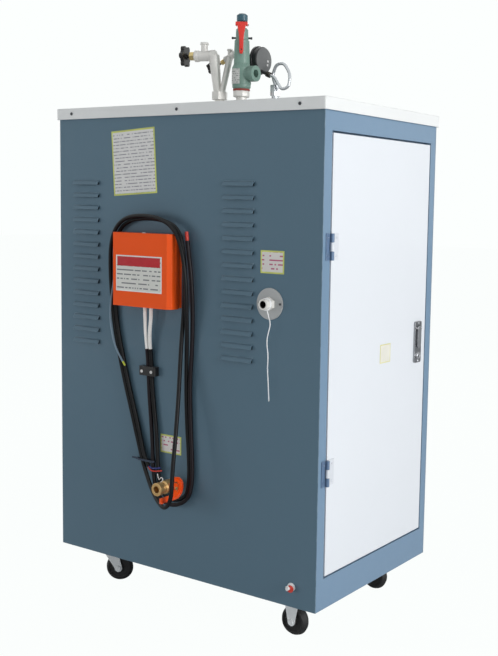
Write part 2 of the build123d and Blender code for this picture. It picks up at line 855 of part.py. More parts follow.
def handwheel(middle, axis, size, radius, stem_length):
    """A star knob with its stem."""
    start = middle + axis * (valve_body_front * size + 2)
    stem = rod(start, axis, valve_stem_radius * size, valve_bonnet + stem_length)
    lobe_circle = radius - wheel_lobe_radius * size
    outline = Circle(lobe_circle + 1)
    for index in range(wheel_lobes):
        place = Rot(0, 0, 360 / wheel_lobes * index) * Pos(lobe_circle, 0)
        outline += place * Circle(wheel_lobe_radius * size)
    seat = start + axis * (valve_bonnet + stem_length - wheel_disc)
    knob = Plane(origin=seat, z_dir=axis) * extrude(outline, wheel_disc)
    return stem + knob + rod(seat - axis * 4, axis, wheel_boss_radius * size, wheel_disc + 7)


pieces["steam_branch"] = steam_branch()
pieces["left_valve_bonnet"] = valve_bonnet_piece(left_valve, left_axis, 1.0)
pieces["left_valve_handwheel"] = handwheel(left_valve, left_axis, 1.0, left_wheel_radius,
                                           left_stem_length)
pieces["right_valve_bonnet"] = valve_bonnet_piece(right_valve, right_axis, right_valve_size)
pieces["right_valve_handwheel"] = handwheel(right_valve, right_axis, right_valve_size,
                                            right_wheel_radius, right_stem_length)


# Water inlet
def inlet_disc_piece():
    disc = rod((inlet_x, front_y, inlet_z), OUT, inlet_disc_radius, inlet_disc)
    return disc - rod((inlet_x, front_y + 1, inlet_z), OUT, inlet_pipe_radius + 0.5, inlet_disc + 2)


def inlet_pipe():
    pipe = rod((inlet_x, front_y + inlet_tail, inlet_z), OUT, inlet_pipe_radius, inlet_tail + inlet_reach)
    pipe += hexagon((inlet_x, front_y - inlet_disc, inlet_z), OUT, inlet_nut_flats, inlet_nut)
    return pipe - rod((inlet_x, front_y + inlet_tail, inlet_z), OUT, inlet_bore, inlet_tail + inlet_reach)


pieces["inlet_disc"] = inlet_disc_piece()
pieces["inlet_pipe"] = inlet_pipe()


# Drain valve: a turned body on a nipple, with a stem towards the door side
def drain_valve():
    r = drain_body_radius
    start = front_y + drain_tail
    at = [drain_tail + reach for reach in (0, drain_body_start, drain_body_end)]
    end = drain_tail + drain_reach
    body = turned((drain_x, start, drain_z), OUT,
                  [(0, 0), (drain_pipe_radius, 0), (drain_pipe_radius, at[1] - 6),
                   (drain_neck_radius, at[1] - 6), (drain_neck_radius, at[1]), (r - 3, at[1]),
                   (r, at[1] + 4), (r, at[2] - 4), (r - 3, at[2]), (drain_neck_radius, at[2]),
                   (drain_neck_radius, end - drain_nose), (drain_nose_radius, end - drain_nose),
                   (drain_nose_radius, end - 1), (drain_nose_radius - 1, end), (0, end)])
    body -= rod((drain_x, front_y - drain_reach + drain_bore_depth, drain_z), OUT, drain_bore,
                drain_bore_depth)
    stem_y = front_y - drain_stem_at
    gland = rod((drain_x, stem_y, drain_z), (1, 0, 0), 9, drain_lever_stand - running_gap - 1)
    stem = rod((drain_x, stem_y, drain_z), (1, 0, 0), drain_stem_radius, drain_stem_reach)
    return body + gland + stem


def drain_lever():
    """A pressed lever: a round plate with a raised rim, run out forward as a handle."""
    sweep_radius = drain_lever_sweep
    width = drain_lever_width
    tip = -drain_lever_length
    plate = Circle(drain_hub_radius + 3)
    disc = Circle(sweep_radius) - Circle(sweep_radius - width)
    keep = Pos(sweep_radius / 2, 0) * Rectangle(sweep_radius, 2 * sweep_radius)
    crescent = disc & keep
    handle = Pos(tip / 2, -sweep_radius + width / 2) * Rectangle(-tip, width)
    web = Pos(0, -sweep_radius / 2) * Rectangle(drain_hub_radius * 1.4, sweep_radius)
    outline = plate + crescent + handle + web
    rim = (Circle(sweep_radius) - Circle(sweep_radius - drain_lever_sheet)) & keep
    rim += Pos(tip / 2, -sweep_radius + drain_lever_sheet / 2) * Rectangle(-tip, drain_lever_sheet)
    face = Plane(origin=(drain_x + drain_lever_stand, front_y - drain_stem_at, drain_z),
                 x_dir=(0, 1, 0), z_dir=(1, 0, 0))
    lever = extrude(face * outline, drain_lever_sheet) + extrude(face * rim, drain_lever_rim)
    return lever - rod((drain_x, front_y - drain_stem_at, drain_z), (1, 0, 0),
                       drain_stem_radius + pin_clearance, 2 * drain_stem_reach)


pieces["drain_valve"] = drain_valve()
pieces["drain_lever"] = drain_lever()


# Earth stud with its washer and nut
def earth_stud():
    stud = rod((earth_x, front_y + 14, earth_z), OUT, earth_stud_radius, 14 + earth_reach)
    stud += rod((earth_x, front_y, earth_z), OUT, earth_washer_radius, earth_washer)
    stud += hexagon((earth_x, front_y - earth_washer, earth_z), OUT, earth_nut_flats, earth_nut)
    return stud


pieces["earth_stud"] = earth_stud()

# Terminal box: a shallow back tray and a cover that laps over it
box_x1 = from_door(box_near)
box_x0 = box_x1 - box_width
box_z0 = above(box_bottom)
box_z1 = box_z0 + box_height
box_front = front_y - box_depth


def box_tray():
    back = block(box_x0 + box_wall, box_x1 - box_wall, front_y - box_back, front_y,
                 box_z0 + box_wall, box_z1 - box_wall)
    well = block(box_x0 + 2 * box_wall, box_x1 - 2 * box_wall, front_y - box_back,
                 front_y - box_wall, box_z0 + 2 * box_wall, box_z1 - 2 * box_wall)
    return back - well - sleeve_holes()


def sleeve_holes():
    holes = Part()
    for inset in sleeve_insets:
        holes += rod((from_door(inset), front_y - sleeve_stand, box_z0 - 1), UP,
                     sleeve_radius + sleeve_hole_clearance, 3 * box_wall)
    return holes


def box_cover():
    outer = block(box_x0, box_x1, box_front, front_y - box_back + box_lap, box_z0, box_z1)
    corners = outer.edges().filter_by(Axis.Z).sort_by(Axis.Y)[:2]
    outer = chamfer(corners, box_chamfer)
    inner = block(box_x0 + box_wall, box_x1 - box_wall, box_front + box_wall, front_y,
                  box_z0 + box_wall, box_z1 - box_wall)
    inner_corners = inner.edges().filter_by(Axis.Z).sort_by(Axis.Y)[:2]
    inner = chamfer(inner_corners, box_chamfer)
    return outer - inner - sleeve_holes()


pieces["terminal_box_tray"] = box_tray()
pieces["terminal_box_cover"] = box_cover()


# Saddle clamp over the two supply cables
def cable_clamp():
    x = from_door(clamp_inset)
    z = above(clamp_height)
    bar = block(x - clamp_length / 2, x + clamp_length / 2, front_y - clamp_rise, front_y,
                z - clamp_width / 2, z + clamp_width / 2)
    bar = fillet(bar.edges().filter_by(Axis.Z).sort_by(Axis.Y)[:2], 5)
    right, left = [from_door(inset) for inset in clamp_cable_insets]
    groove = cable_radius + clamp_clearance
    for cable_x in (left, right):
        bar -= rod((cable_x, front_y - clamp_cable_stand, z - clamp_width), UP, groove, 2 * clamp_width)
    bar -= block(left, right, front_y - clamp_cable_stand - groove, front_y, z - clamp_width,
                 z + clamp_width)
    return bar - block(left - groove, right + groove, front_y - clamp_cable_stand, front_y,
                       z - clamp_width, z + clamp_width)


pieces["cable_clamp"] = cable_clamp()

# Cables and loose wires. A route lists places by eye: the inset from the door side, the stand
# off the louvred side and the height above the bottom edge of the housing
sleeve_route_a = [
    (528, 24, 738), (528.3, 23.8, 714), (531.5, 21.5, 689), (537.2, 19, 662), (540.6, 15.8, 634.5),
    (541, 12.5, 612.2),
]
sleeve_route_b = [
    (550, 24, 738), (550.2, 23.8, 714), (551, 22, 689), (552.3, 19.3, 662), (552.8, 15.8, 634.5),
    (553, 12.5, 612.2),
]
cable_route_a = [
    (541, 12.5, 612), (541.5, 8.1, 582), (541, 6.6, 530), (533, 8, 466), (523, 8.5, 400),
    (517, 10, 334), (512, 12, 274), (501, 13, 224), (460, 13, 207), (412, 9, 224), (404, 8, 274),
    (406.5, 8, 338), (415, 8, 440), (416.5, 9, 545), (408, 17, 640), (399, 29, 728), (398, 35, 812),
    (410, 35, 882), (434, 35, 935), (484, 34, 963), (556, 28, 970), (623, 22, 963), (667, 18, 933),
    (688, 14, 884), (694, 9, 814), (689, 7.5, 742), (681, 7.5, 668), (661, 7.5, 586), (640, 7.5, 510),
    (614, 7.5, 430), (590, 8, 352), (564, 12, 286), (520, 31, 238), (476, 56, 216), (428, 78, 204),
    (395, 89, 238), (396, 85, 305), (400, 68, 400), (409, 48, 490), (418, 32, 575), (421, 23, 650),
    (416, 19, 735), (413, 20, 812), (418, 20, 878), (434, 21, 938), (487, 21, 959), (558, 17, 963),
    (622, 11, 954), (662, 8, 928), (678, 7.5, 876), (682, 7.5, 806), (677, 7.5, 738),
    (668.5, 7.5, 664), (648, 7.5, 584), (627.5, 7.5, 512), (601.5, 7.5, 432), (578, 8.5, 356),
    (563, 12, 314), (543, 16, 291),
]
cable_route_b = [
    (553, 12.5, 612), (553.2, 8.1, 582), (552.5, 6.6, 530), (547, 8, 466), (539.5, 8.5, 400),
    (534, 10, 336), (529, 13, 276), (512, 17, 215), (460, 19, 192), (402, 15, 218), (392.5, 10, 268),
    (395, 8, 336), (402.5, 7.5, 432), (404.5, 8, 540), (396, 9, 640), (394, 11, 735), (397, 14, 815),
    (406, 14, 872), (411, 14, 907),
]
core_routes_a = [
    [(540.9, 16.6, 291.6), (530, 20.7, 287.5), (513, 21.5, 289), (495, 22, 294)],
    [(543.6, 15.9, 288.7), (533, 21, 281), (515, 21.8, 281), (490, 22.5, 287)],
]
earth_wire_route = [
    (653, 14, 866), (660, 14, 864.5), (667, 14, 856), (669, 14.5, 838), (670, 16, 808),
    (676, 17.5, 768), (685, 17.5, 730), (688, 16, 690), (683, 16, 650), (671, 17, 615), (654, 18, 588),
    (638, 18, 569),
]
string_route = [
    (149, 17, 746.3), (144, 17, 731), (138, 16, 712), (146, 14, 690), (152, 13, 666), (146, 13, 632),
    (149, 12, 598), (145, 12, 558), (143, 12, 518),
]


def laid_out(route):
    return [Vector(from_door(inset), front_y - stand, above(height)) for inset, stand, height in route]


def cable(name, route, radius):
    """A cable, and a line that says how tightly it bends."""
    points = laid_out(route)
    pieces[name] = bent_tube(points, radius)
    print(name, "bend radii", *[round(bend) for bend in bend_radii(points)])


def tip(route, radius, length):
    """What sticks out of a cable's last point."""
    before, last = laid_out(route)[-2:]
    return rod(last, last - before, radius, length)


def cable_tie():
    """A strap round three strands, with its head and the spare tail."""
    near, far = [from_door(inset) for inset in tie_insets]
    z = above(tie_height) - tie_width / 2
    face = Plane(origin=((near + far) / 2, front_y - tie_stand, z))
    inside = RectangleRounded(near - far, tie_depth, tie_depth * 0.45)
    band = extrude(face * (offset(inside, tie_band) - inside), tie_width)
    x = far - tie_band
    y = front_y - tie_stand
    head = block(x - tie_head, x, y - tie_head / 2, y + tie_head / 2, z, z + tie_width)
    return band + head + block(x - tie_head - tie_tail, x - tie_head, y - tie_band / 2,
                               y + tie_band / 2, z, z + tie_width)


cable("supply_sleeve_a", sleeve_route_a, sleeve_radius)
cable("supply_sleeve_b", sleeve_route_b, sleeve_radius)
cable("supply_cable_a", cable_route_a, cable_radius)
cable("supply_cable_b", cable_route_b, cable_radius)
pieces["cable_core_a"] = Part() + [bent_tube(laid_out(route), core_radius) for route in core_routes_a]
pieces["cable_core_b"] = tip(cable_route_b, stripped_core_radius, stripped_core_length)
cable("earth_wire", earth_wire_route, earth_wire_radius)
pieces["earth_wire_tip"] = tip(earth_wire_route, earth_wire_radius, earth_tip_length)
cable("inlet_string", string_route, string_radius)
pieces["cable_tie"] = cable_tie()

os.makedirs("parts", exist_ok=True)
for name, piece in pieces.items():
    export_step(piece, f"parts/{name}.step")
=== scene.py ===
import math
import bpy
from mathutils import Matrix, Vector


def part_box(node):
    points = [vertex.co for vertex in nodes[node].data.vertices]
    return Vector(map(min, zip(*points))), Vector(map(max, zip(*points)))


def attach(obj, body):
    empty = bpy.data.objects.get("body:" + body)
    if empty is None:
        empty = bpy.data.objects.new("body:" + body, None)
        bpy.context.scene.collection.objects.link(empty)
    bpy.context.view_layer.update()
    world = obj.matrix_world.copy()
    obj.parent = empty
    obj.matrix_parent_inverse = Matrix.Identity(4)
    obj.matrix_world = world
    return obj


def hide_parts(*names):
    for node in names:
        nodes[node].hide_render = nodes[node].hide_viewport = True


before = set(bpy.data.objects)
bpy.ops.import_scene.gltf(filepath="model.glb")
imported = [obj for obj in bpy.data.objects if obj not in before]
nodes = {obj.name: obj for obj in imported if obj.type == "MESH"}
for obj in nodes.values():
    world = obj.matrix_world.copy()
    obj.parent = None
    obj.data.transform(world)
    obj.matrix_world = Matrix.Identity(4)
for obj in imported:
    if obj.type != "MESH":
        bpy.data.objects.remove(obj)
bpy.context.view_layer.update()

# Frame of the cabinet. Places on it are given as by a tape measure: the inset from the door
# side, the stand off the louvred wide side and the height above the housing's bottom edge.
door_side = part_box("door_frame")[1].x
wide_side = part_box("door_frame")[0].y - 0.002
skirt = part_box("bottom_pan")[0].z


def at(inset, stand, height):
    return Vector((door_side - inset, wide_side - stand, skirt + height))


def srgb(red, green, blue):
    """A colour as read off a paint card, in Blender's linear values."""
    return tuple((channel / 255) ** 2.2 for channel in (red, green, blue)) + (1.0,)


def unselect():
    bpy.ops.object.select_all(action="DESELECT")


# Camera. It stands out from the corner between the wide side and the door, one metre above the
# housing's bottom edge, and looks slightly down, so that both of those sides show.
camera_turn = math.radians(-33.378)
camera_dip = math.radians(6.0986)
camera_roll = math.radians(1.1814)
ahead = Vector((math.sin(camera_turn) * math.cos(camera_dip),
                math.cos(camera_turn) * math.cos(camera_dip), -math.sin(camera_dip)))
level = Vector((math.cos(camera_turn), -math.sin(camera_turn), 0))
upward = level.cross(ahead)
right = level * math.cos(camera_roll) + upward * math.sin(camera_roll)
over = upward * math.cos(camera_roll) - level * math.sin(camera_roll)
bpy.ops.object.camera_add(location=at(-1.3474, 2.0232, 1.0023))
camera = bpy.context.object
camera.rotation_mode = "QUATERNION"
camera.rotation_quaternion = Matrix((right, over, -ahead)).transposed().to_quaternion()
camera.data.sensor_width = 36
camera.data.lens = 55.98
camera.data.shift_x = -0.1175
camera.data.shift_y = -0.0189
camera.data.clip_end = 60
bpy.context.scene.camera = camera

# Light and floor. A broad soft lamp on the door side, a weaker one before the wide side, a third
# high behind, and a pale room that fills the shade; floor and backdrop are one even white.
view = bpy.context.scene.view_settings
view.view_transform = "Standard"


def node_maths(tree, operation, first, second=0.0, clamp=False):
    """One maths step in a node tree; what goes in is a number or another node's socket."""
    node = tree.nodes.new("ShaderNodeMath")
    node.operation = operation
    node.use_clamp = clamp
    for socket, value in zip(node.inputs, (first, second)):
        if isinstance(value, float):
            socket.default_value = value
        else:
            tree.links.new(value, socket)
    return node.outputs[0]


def lamp(place, target, size, power, mirrored=True):
    bpy.ops.object.light_add(type="AREA", location=place)
    light = bpy.context.object
    light.data.shape = "DISK"
    light.data.size = size
    light.data.energy = power
    light.rotation_mode = "QUATERNION"
    light.rotation_quaternion = (Vector(place) - Vector(target)).to_track_quat("Z", "Y")
    light.visible_glossy = mirrored


lamp((3.8, -0.6, 1.5), (0.2, 0.0, 0.7), 2.4, 92)
lamp((-4.2, -4.1, 0.8), (0.0, -0.2, 0.7), 2.2, 80, False)
lamp((-2.4, 3.0, 2.4), (0.0, 0.0, 0.8), 2.6, 46)

world = bpy.context.scene.world or bpy.data.worlds.new("room")
bpy.context.scene.world = world
world.use_nodes = True
room = world.node_tree
sweep_white = (0.975, 1.0, 0.99, 1)
room.nodes.clear()
rays = room.nodes.new("ShaderNodeLightPath")
looked_at = node_maths(room, "MAXIMUM", rays.outputs["Is Camera Ray"], rays.outputs["Is Glossy Ray"])
seen = node_maths(room, "MAXIMUM", looked_at, rays.outputs["Is Transmission Ray"])
fill = room.nodes.new("ShaderNodeBackground")
fill.inputs["Color"].default_value = (0.93, 0.96, 1.0, 1)
fill.inputs["Strength"].default_value = 0.30
sweep = room.nodes.new("ShaderNodeBackground")
sweep.inputs["Color"].default_value = sweep_white
sweep.inputs["Strength"].default_value = 1.0
either = room.nodes.new("ShaderNodeMixShader")
room_out = room.nodes.new("ShaderNodeOutputWorld")
room.links.new(seen, either.inputs[0])
room.links.new(fill.outputs[0], either.inputs[1])
room.links.new(sweep.outputs[0], either.inputs[2])
room.links.new(either.outputs[0], room_out.inputs["Surface"])

unselect()
bpy.ops.mesh.primitive_plane_add(size=50, location=(0, 0, 0))
floor = bpy.context.object
floor.name = "studio_floor"
floor_paint = bpy.data.materials.new("floor_paint")
floor_paint.use_nodes = True
paint_nodes = floor_paint.node_tree.nodes
paint_nodes["Principled BSDF"].inputs["Base Color"].default_value = (0.86, 0.87, 0.87, 1)
paint_nodes["Principled BSDF"].inputs["Roughness"].default_value = 0.85
floor_rays = paint_nodes.new("ShaderNodeLightPath")
floor_glow = paint_nodes.new("ShaderNodeEmission")
floor_glow.inputs["Color"].default_value = sweep_white
floor_share = node_maths(floor_paint.node_tree, "MULTIPLY", floor_rays.outputs["Is Camera Ray"], 0.985)
floor_mix = paint_nodes.new("ShaderNodeMixShader")
floor_links = floor_paint.node_tree.links
floor_links.new(floor_share, floor_mix.inputs[0])
floor_links.new(paint_nodes["Principled BSDF"].outputs[0], floor_mix.inputs[1])
floor_links.new(floor_glow.outputs[0], floor_mix.inputs[2])
floor_links.new(floor_mix.outputs[0], paint_nodes["Material Output"].inputs["Surface"])
floor.data.materials.append(floor_paint)


# Supply cables. Two black rubber cables leave the terminal box in white glass-fibre sleeves,
# pass under the saddle clamp, and are wound round the box in long loops with bare free ends.
def group_socket(group, name, kind, way, default=None):
    socket = group.interface.new_socket(name=name, in_out=way, socket_type=kind)
    if default is not None:
        socket.default_value = default


def surface_group():
    """Broad tone, fine grain, rubbed edges and settled dust, shared by all the finishes. On the blue coats
    the lighter rubbed edges are partly a painted edge highlight.
    """
    group = bpy.data.node_groups.new("worn_surface", "ShaderNodeTree")
    for name, kind, default in (("Colour", "NodeSocketColor", (0.5, 0.5, 0.5, 1)),
                                ("Tone", "NodeSocketFloat", 0.06),
                                ("Tone Scale", "NodeSocketFloat", 5.0),
                                ("Rub Colour", "NodeSocketColor", (0.6, 0.6, 0.6, 1)),
                                ("Rub", "NodeSocketFloat", 0.0),
                                ("Edge", "NodeSocketFloat", 0.0012),
                                ("Roughness", "NodeSocketFloat", 0.5),
                                ("Grain Scale", "NodeSocketFloat", 1300.0),
                                ("Grain Depth", "NodeSocketFloat", 0.00005),
                                ("Dust", "NodeSocketFloat", 0.05)):
        group_socket(group, name, kind, "INPUT", default)
    for name, kind in (("Colour", "NodeSocketColor"), ("Roughness", "NodeSocketFloat"),
                       ("Normal", "NodeSocketVector")):
        group_socket(group, name, kind, "OUTPUT")
    put = group.nodes.new
    join = group.links.new
    given = put("NodeGroupInput")
    result = put("NodeGroupOutput")
    place = put("ShaderNodeTexCoord")

    def noise(scale, detail):
        node = put("ShaderNodeTexNoise")
        node.inputs["Detail"].default_value = detail
        join(place.outputs["Object"], node.inputs["Vector"])
        if isinstance(scale, float):
            node.inputs["Scale"].default_value = scale
        else:
            join(scale, node.inputs["Scale"])
        return node.outputs["Fac"]

    def maths(operation, first, second, clamp=False):
        return node_maths(group, operation, first, second, clamp)

    def blend(kind, share, first, second):
        node = put("ShaderNodeMix")
        node.data_type = "RGBA"
        node.blend_type = kind
        join(share, node.inputs["Factor"])
        for socket, value in ((node.inputs[6], first), (node.inputs[7], second)):
            if isinstance(value, tuple):
                socket.default_value = value
            else:
                join(value, socket)
        return node.outputs[2]

    broad = noise(given.outputs["Tone Scale"], 4.0)
    patch = noise(38.0, 6.0)
    grain = noise(given.outputs["Grain Scale"], 2.0)
    swing = maths("SUBTRACT", maths("ADD", broad, maths("MULTIPLY", grain, 0.5)), 0.75)
    lightness = maths("ADD", maths("MULTIPLY", swing, maths("MULTIPLY", given.outputs["Tone"], 4.0)), 1.0)
    tinted = put("ShaderNodeVectorMath")
    tinted.operation = "SCALE"
    join(given.outputs["Colour"], tinted.inputs[0])
    join(lightness, tinted.inputs["Scale"])
    soft = put("ShaderNodeBevel")
    soft.samples = 4
    join(given.outputs["Edge"], soft.inputs["Radius"])
    shape = put("ShaderNodeNewGeometry")
    likeness = put("ShaderNodeVectorMath")
    likeness.operation = "DOT_PRODUCT"
    join(soft.outputs[0], likeness.inputs[0])
    join(shape.outputs["Normal"], likeness.inputs[1])
    edge = maths("MULTIPLY", maths("SUBTRACT", 1.0, likeness.outputs["Value"]), 7.0, True)
    broken = maths("MULTIPLY", maths("SUBTRACT", patch, 0.42), 6.0, True)
    # The rubbed edges take the rub colour: worn paint, and on the blue coats, where that colour is lighter,
    # partly a painted edge highlight.
    edge_wear_and_highlight = maths("MULTIPLY", maths("MULTIPLY", edge, broken), given.outputs["Rub"], True)
    worn_and_edge_highlight = blend("MIX", edge_wear_and_highlight, tinted.outputs[0], given.outputs["Rub Colour"])
    facing = put("ShaderNodeSeparateXYZ")
    join(shape.outputs["Normal"], facing.inputs[0])
    flat = maths("MULTIPLY", maths("SUBTRACT", facing.outputs["Z"], 0.4), 1.6, True)
    settled = maths("MULTIPLY", maths("MULTIPLY", flat, patch), given.outputs["Dust"], True)
    dusty = blend("MIX", settled, worn_and_edge_highlight, (0.62, 0.61, 0.58, 1))
    rough = maths("ADD", given.outputs["Roughness"],
                  maths("ADD", maths("MULTIPLY", maths("SUBTRACT", patch, 0.5), 0.22),
                        maths("MULTIPLY", settled, 0.4)), True)
    bump = put("ShaderNodeBump")
    bump.inputs["Strength"].default_value = 1.0
    join(given.outputs["Grain Depth"], bump.inputs["Distance"])
    join(grain, bump.inputs["Height"])
    join(soft.outputs[0], bump.inputs["Normal"])
    join(dusty, result.inputs["Colour"])
    join(rough, result.inputs["Roughness"])
    join(bump.outputs[0], result.inputs["Normal"])
    return group


worn_surface = surface_group()


def finish(name, colour, roughness=0.5, metallic=0.0, coat=0.0, specular=0.5, **values):
    """A material whose colour, roughness and normal come from the shared surface group."""
    material = bpy.data.materials.new(name)
    material.use_nodes = True
    tree = material.node_tree
    shader = tree.nodes["Principled BSDF"]
    surface = tree.nodes.new("ShaderNodeGroup")
    surface.name = "surface"
    surface.node_tree = worn_surface
    surface.inputs["Colour"].default_value = colour
    surface.inputs["Roughness"].default_value = roughness
    for socket, value in values.items():
        surface.inputs[socket.replace("_", " ").title()].default_value = value
    tree.links.new(surface.outputs["Colour"], shader.inputs["Base Color"])
    tree.links.new(surface.outputs["Roughness"], shader.inputs["Roughness"])
    tree.links.new(surface.outputs["Normal"], shader.inputs["Normal"])
    shader.inputs["Metallic"].default_value = metallic
    shader.inputs["Coat Weight"].default_value = coat
    shader.inputs["Specular IOR Level"].default_value = specular
    return material


cable_rubber = finish(
    "cable_rubber", srgb(14, 14, 17), 0.45, specular=0.25, tone=0.10, tone_scale=22.0, edge=0.0005,
    grain_scale=1500.0, grain_depth=0.00006, dust=0.12)
cable_rubber_brown = finish(
    "cable_rubber_brown", srgb(26, 19, 24), 0.45, specular=0.25, tone=0.10, tone_scale=18.0, edge=0.0005,
    grain_scale=1500.0, grain_depth=0.00006, dust=0.12)
sleeve_fibre = finish(
    "sleeve_fibre", srgb(248, 246, 242), 0.8, tone=0.05, tone_scale=60.0, edge=0.0005,
    grain_depth=0.0004, dust=0.0)
blue_core_sheath = finish(
    "blue_core_sheath", srgb(44, 52, 120), 0.4, edge=0.0004, grain_scale=900.0, dust=0.0)
red_core_sheath = finish(
    "red_core_sheath", srgb(205, 60, 45), 0.4, edge=0.0004, grain_scale=900.0, dust=0.0)
cable_diameter = 0.011
sleeve_diameter = 0.0095
core_diameter = 0.0038

sleeve_route_a = [
    (0.528, 0.024, 0.738), (0.5283, 0.0238, 0.714), (0.5315, 0.0215, 0.689),
    (0.5372, 0.019, 0.662), (0.5406, 0.0158, 0.6345), (0.541, 0.0125, 0.6122),
]
sleeve_route_b = [
    (0.55, 0.024, 0.738), (0.5502, 0.0238, 0.714), (0.551, 0.022, 0.689),
    (0.5523, 0.0193, 0.662), (0.5528, 0.0158, 0.6345), (0.553, 0.0125, 0.6122),
]
cable_route_a = [
    (0.541, 0.0125, 0.612), (0.5415, 0.0081, 0.582), (0.541, 0.0066, 0.53), (0.533, 0.008, 0.466),
    (0.523, 0.0085, 0.4), (0.517, 0.01, 0.334), (0.512, 0.012, 0.274), (0.501, 0.013, 0.224),
    (0.46, 0.013, 0.207), (0.412, 0.009, 0.224), (0.404, 0.008, 0.274), (0.4065, 0.008, 0.338),
    (0.415, 0.008, 0.44), (0.4165, 0.009, 0.545), (0.408, 0.017, 0.64), (0.399, 0.029, 0.728),
    (0.398, 0.035, 0.812), (0.41, 0.035, 0.882), (0.434, 0.035, 0.935), (0.484, 0.034, 0.963),
    (0.556, 0.028, 0.97), (0.623, 0.022, 0.963), (0.667, 0.018, 0.933), (0.688, 0.014, 0.884),
    (0.694, 0.009, 0.814), (0.689, 0.0075, 0.742), (0.681, 0.0075, 0.668), (0.661, 0.0075, 0.586),
    (0.64, 0.0075, 0.51), (0.614, 0.0075, 0.43), (0.59, 0.008, 0.352), (0.564, 0.012, 0.286),
    (0.52, 0.031, 0.238), (0.476, 0.056, 0.216), (0.428, 0.078, 0.204), (0.395, 0.089, 0.238),
    (0.396, 0.085, 0.305), (0.4, 0.068, 0.4), (0.409, 0.048, 0.49), (0.418, 0.032, 0.575),
    (0.421, 0.023, 0.65), (0.416, 0.019, 0.735), (0.413, 0.02, 0.812), (0.418, 0.02, 0.878),
    (0.434, 0.021, 0.938), (0.487, 0.021, 0.959), (0.558, 0.017, 0.963), (0.622, 0.011, 0.954),
    (0.662, 0.008, 0.928), (0.678, 0.0075, 0.876), (0.682, 0.0075, 0.806), (0.677, 0.0075, 0.738),
    (0.6685, 0.0075, 0.664), (0.648, 0.0075, 0.584), (0.6275, 0.0075, 0.512), (0.6015, 0.0075, 0.432),
    (0.578, 0.0085, 0.356), (0.563, 0.012, 0.314), (0.543, 0.016, 0.291),
]
cable_route_b = [
    (0.553, 0.0125, 0.612), (0.5532, 0.0081, 0.582), (0.5525, 0.0066, 0.53), (0.547, 0.008, 0.466),
    (0.5395, 0.0085, 0.4), (0.534, 0.01, 0.336), (0.529, 0.013, 0.276), (0.512, 0.017, 0.215),
    (0.46, 0.019, 0.192), (0.402, 0.015, 0.218), (0.3925, 0.01, 0.268), (0.395, 0.008, 0.336),
    (0.4025, 0.0075, 0.432), (0.4045, 0.008, 0.54), (0.396, 0.009, 0.64), (0.394, 0.011, 0.735),
    (0.397, 0.014, 0.815), (0.406, 0.014, 0.872), (0.411, 0.014, 0.907),
]
core_routes_a = [
    [(0.5409, 0.0166, 0.2916), (0.53, 0.0207, 0.2875), (0.513, 0.0215, 0.289), (0.495, 0.022, 0.294)],
    [(0.5436, 0.0159, 0.2887), (0.533, 0.021, 0.281), (0.515, 0.0218, 0.281), (0.49, 0.0225, 0.287)],
]


def routed(name, route, diameter, material, sides=8):
    """A round cord on one smooth curve through its list of places."""
    curve = bpy.data.curves.new(name, "CURVE")
    curve.dimensions = "3D"
    spline = curve.splines.new("NURBS")
    spline.points.add(len(route) - 1)
    for point, place in zip(spline.points, route):
        point.co = (*at(*place), 1)
    spline.order_u = 3
    spline.use_endpoint_u = True
    curve.resolution_u = 10
    curve.bevel_depth = diameter / 2
    curve.bevel_resolution = sides
    curve.use_fill_caps = True
    cord = bpy.data.objects.new(name, curve)
    bpy.context.collection.objects.link(cord)
    curve.materials.append(material)
    return cord


def laid(name, route, diameter, material, node):
    """A routed cord that stands for its node on the housing."""
    cord = routed(name, route, diameter, material)
    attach(cord, "housing")
    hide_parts(node)
    return cord


def core_strand(name, routes, diameter, materials, node):
    """Bare cores at a cable's end, made one mesh."""
    strands = [routed(name + str(index), route, diameter, material, 5)
               for index, (route, material) in enumerate(zip(routes, materials))]
    unselect()
    for strand in strands:
        strand.select_set(True)
    bpy.context.view_layer.objects.active = strands[0]
    bpy.ops.object.convert(target="MESH")
    if len(strands) > 1:
        bpy.ops.object.join()
    cores = bpy.context.object
    cores.name = name
    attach(cores, "housing")
    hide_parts(node)
    return cores


def tip_route(route, reach, ease):
    """A short straight run on from a route's last place."""
    step = Vector(route[-1]) - Vector(route[-2])
    end = Vector(route[-1]) + step.normalized() * reach
    return [route[-1], tuple(end - step * ease), tuple(end)]


cores_a = core_strand("stripped_cores_a", core_routes_a, core_diameter,
                      (blue_core_sheath, red_core_sheath), "cable_core_a")
core_b = core_strand("stripped_core_b", [tip_route(cable_route_b, 0.0235, 0.3)], 0.0094,
                     (red_core_sheath,), "cable_core_b")
laid("sleeve_a", sleeve_route_a, sleeve_diameter, sleeve_fibre, "supply_sleeve_a")
laid("sleeve_b", sleeve_route_b, sleeve_diameter, sleeve_fibre, "supply_sleeve_b")
laid("long_supply_cable", cable_route_a, cable_diameter, cable_rubber, "supply_cable_a")
laid("short_supply_cable", cable_route_b, cable_diameter, cable_rubber_brown, "supply_cable_b")

# Earth wire. A thin grey-blue wire from the box's hidden side hangs in front of the loops and
# ends bare, with its yellow and green core showing.
wire_sheath = finish("wire_sheath", srgb(120, 142, 158), 0.45, edge=0.0004, grain_scale=900.0)
earth_core = finish("earth_core", srgb(196, 205, 70), 0.45, edge=0.0004, grain_scale=900.0, dust=0.0)
earth_wire_route = [
    (0.653, 0.014, 0.866), (0.66, 0.014, 0.8645), (0.667, 0.014, 0.856), (0.669, 0.0145, 0.838),
    (0.67, 0.016, 0.808), (0.676, 0.0175, 0.768), (0.685, 0.0175, 0.73), (0.688, 0.016, 0.69),
    (0.683, 0.016, 0.65), (0.671, 0.017, 0.615), (0.654, 0.018, 0.588), (0.638, 0.018, 0.569),
]
earth_diameter = 0.0052
earth_tip = core_strand("earth_wire_end", [tip_route(earth_wire_route, 0.0132, 0.2)], earth_diameter,
                        (earth_core,), "earth_wire_tip")
laid("loose_earth_wire", earth_wire_route, earth_diameter, wire_sheath, "earth_wire")

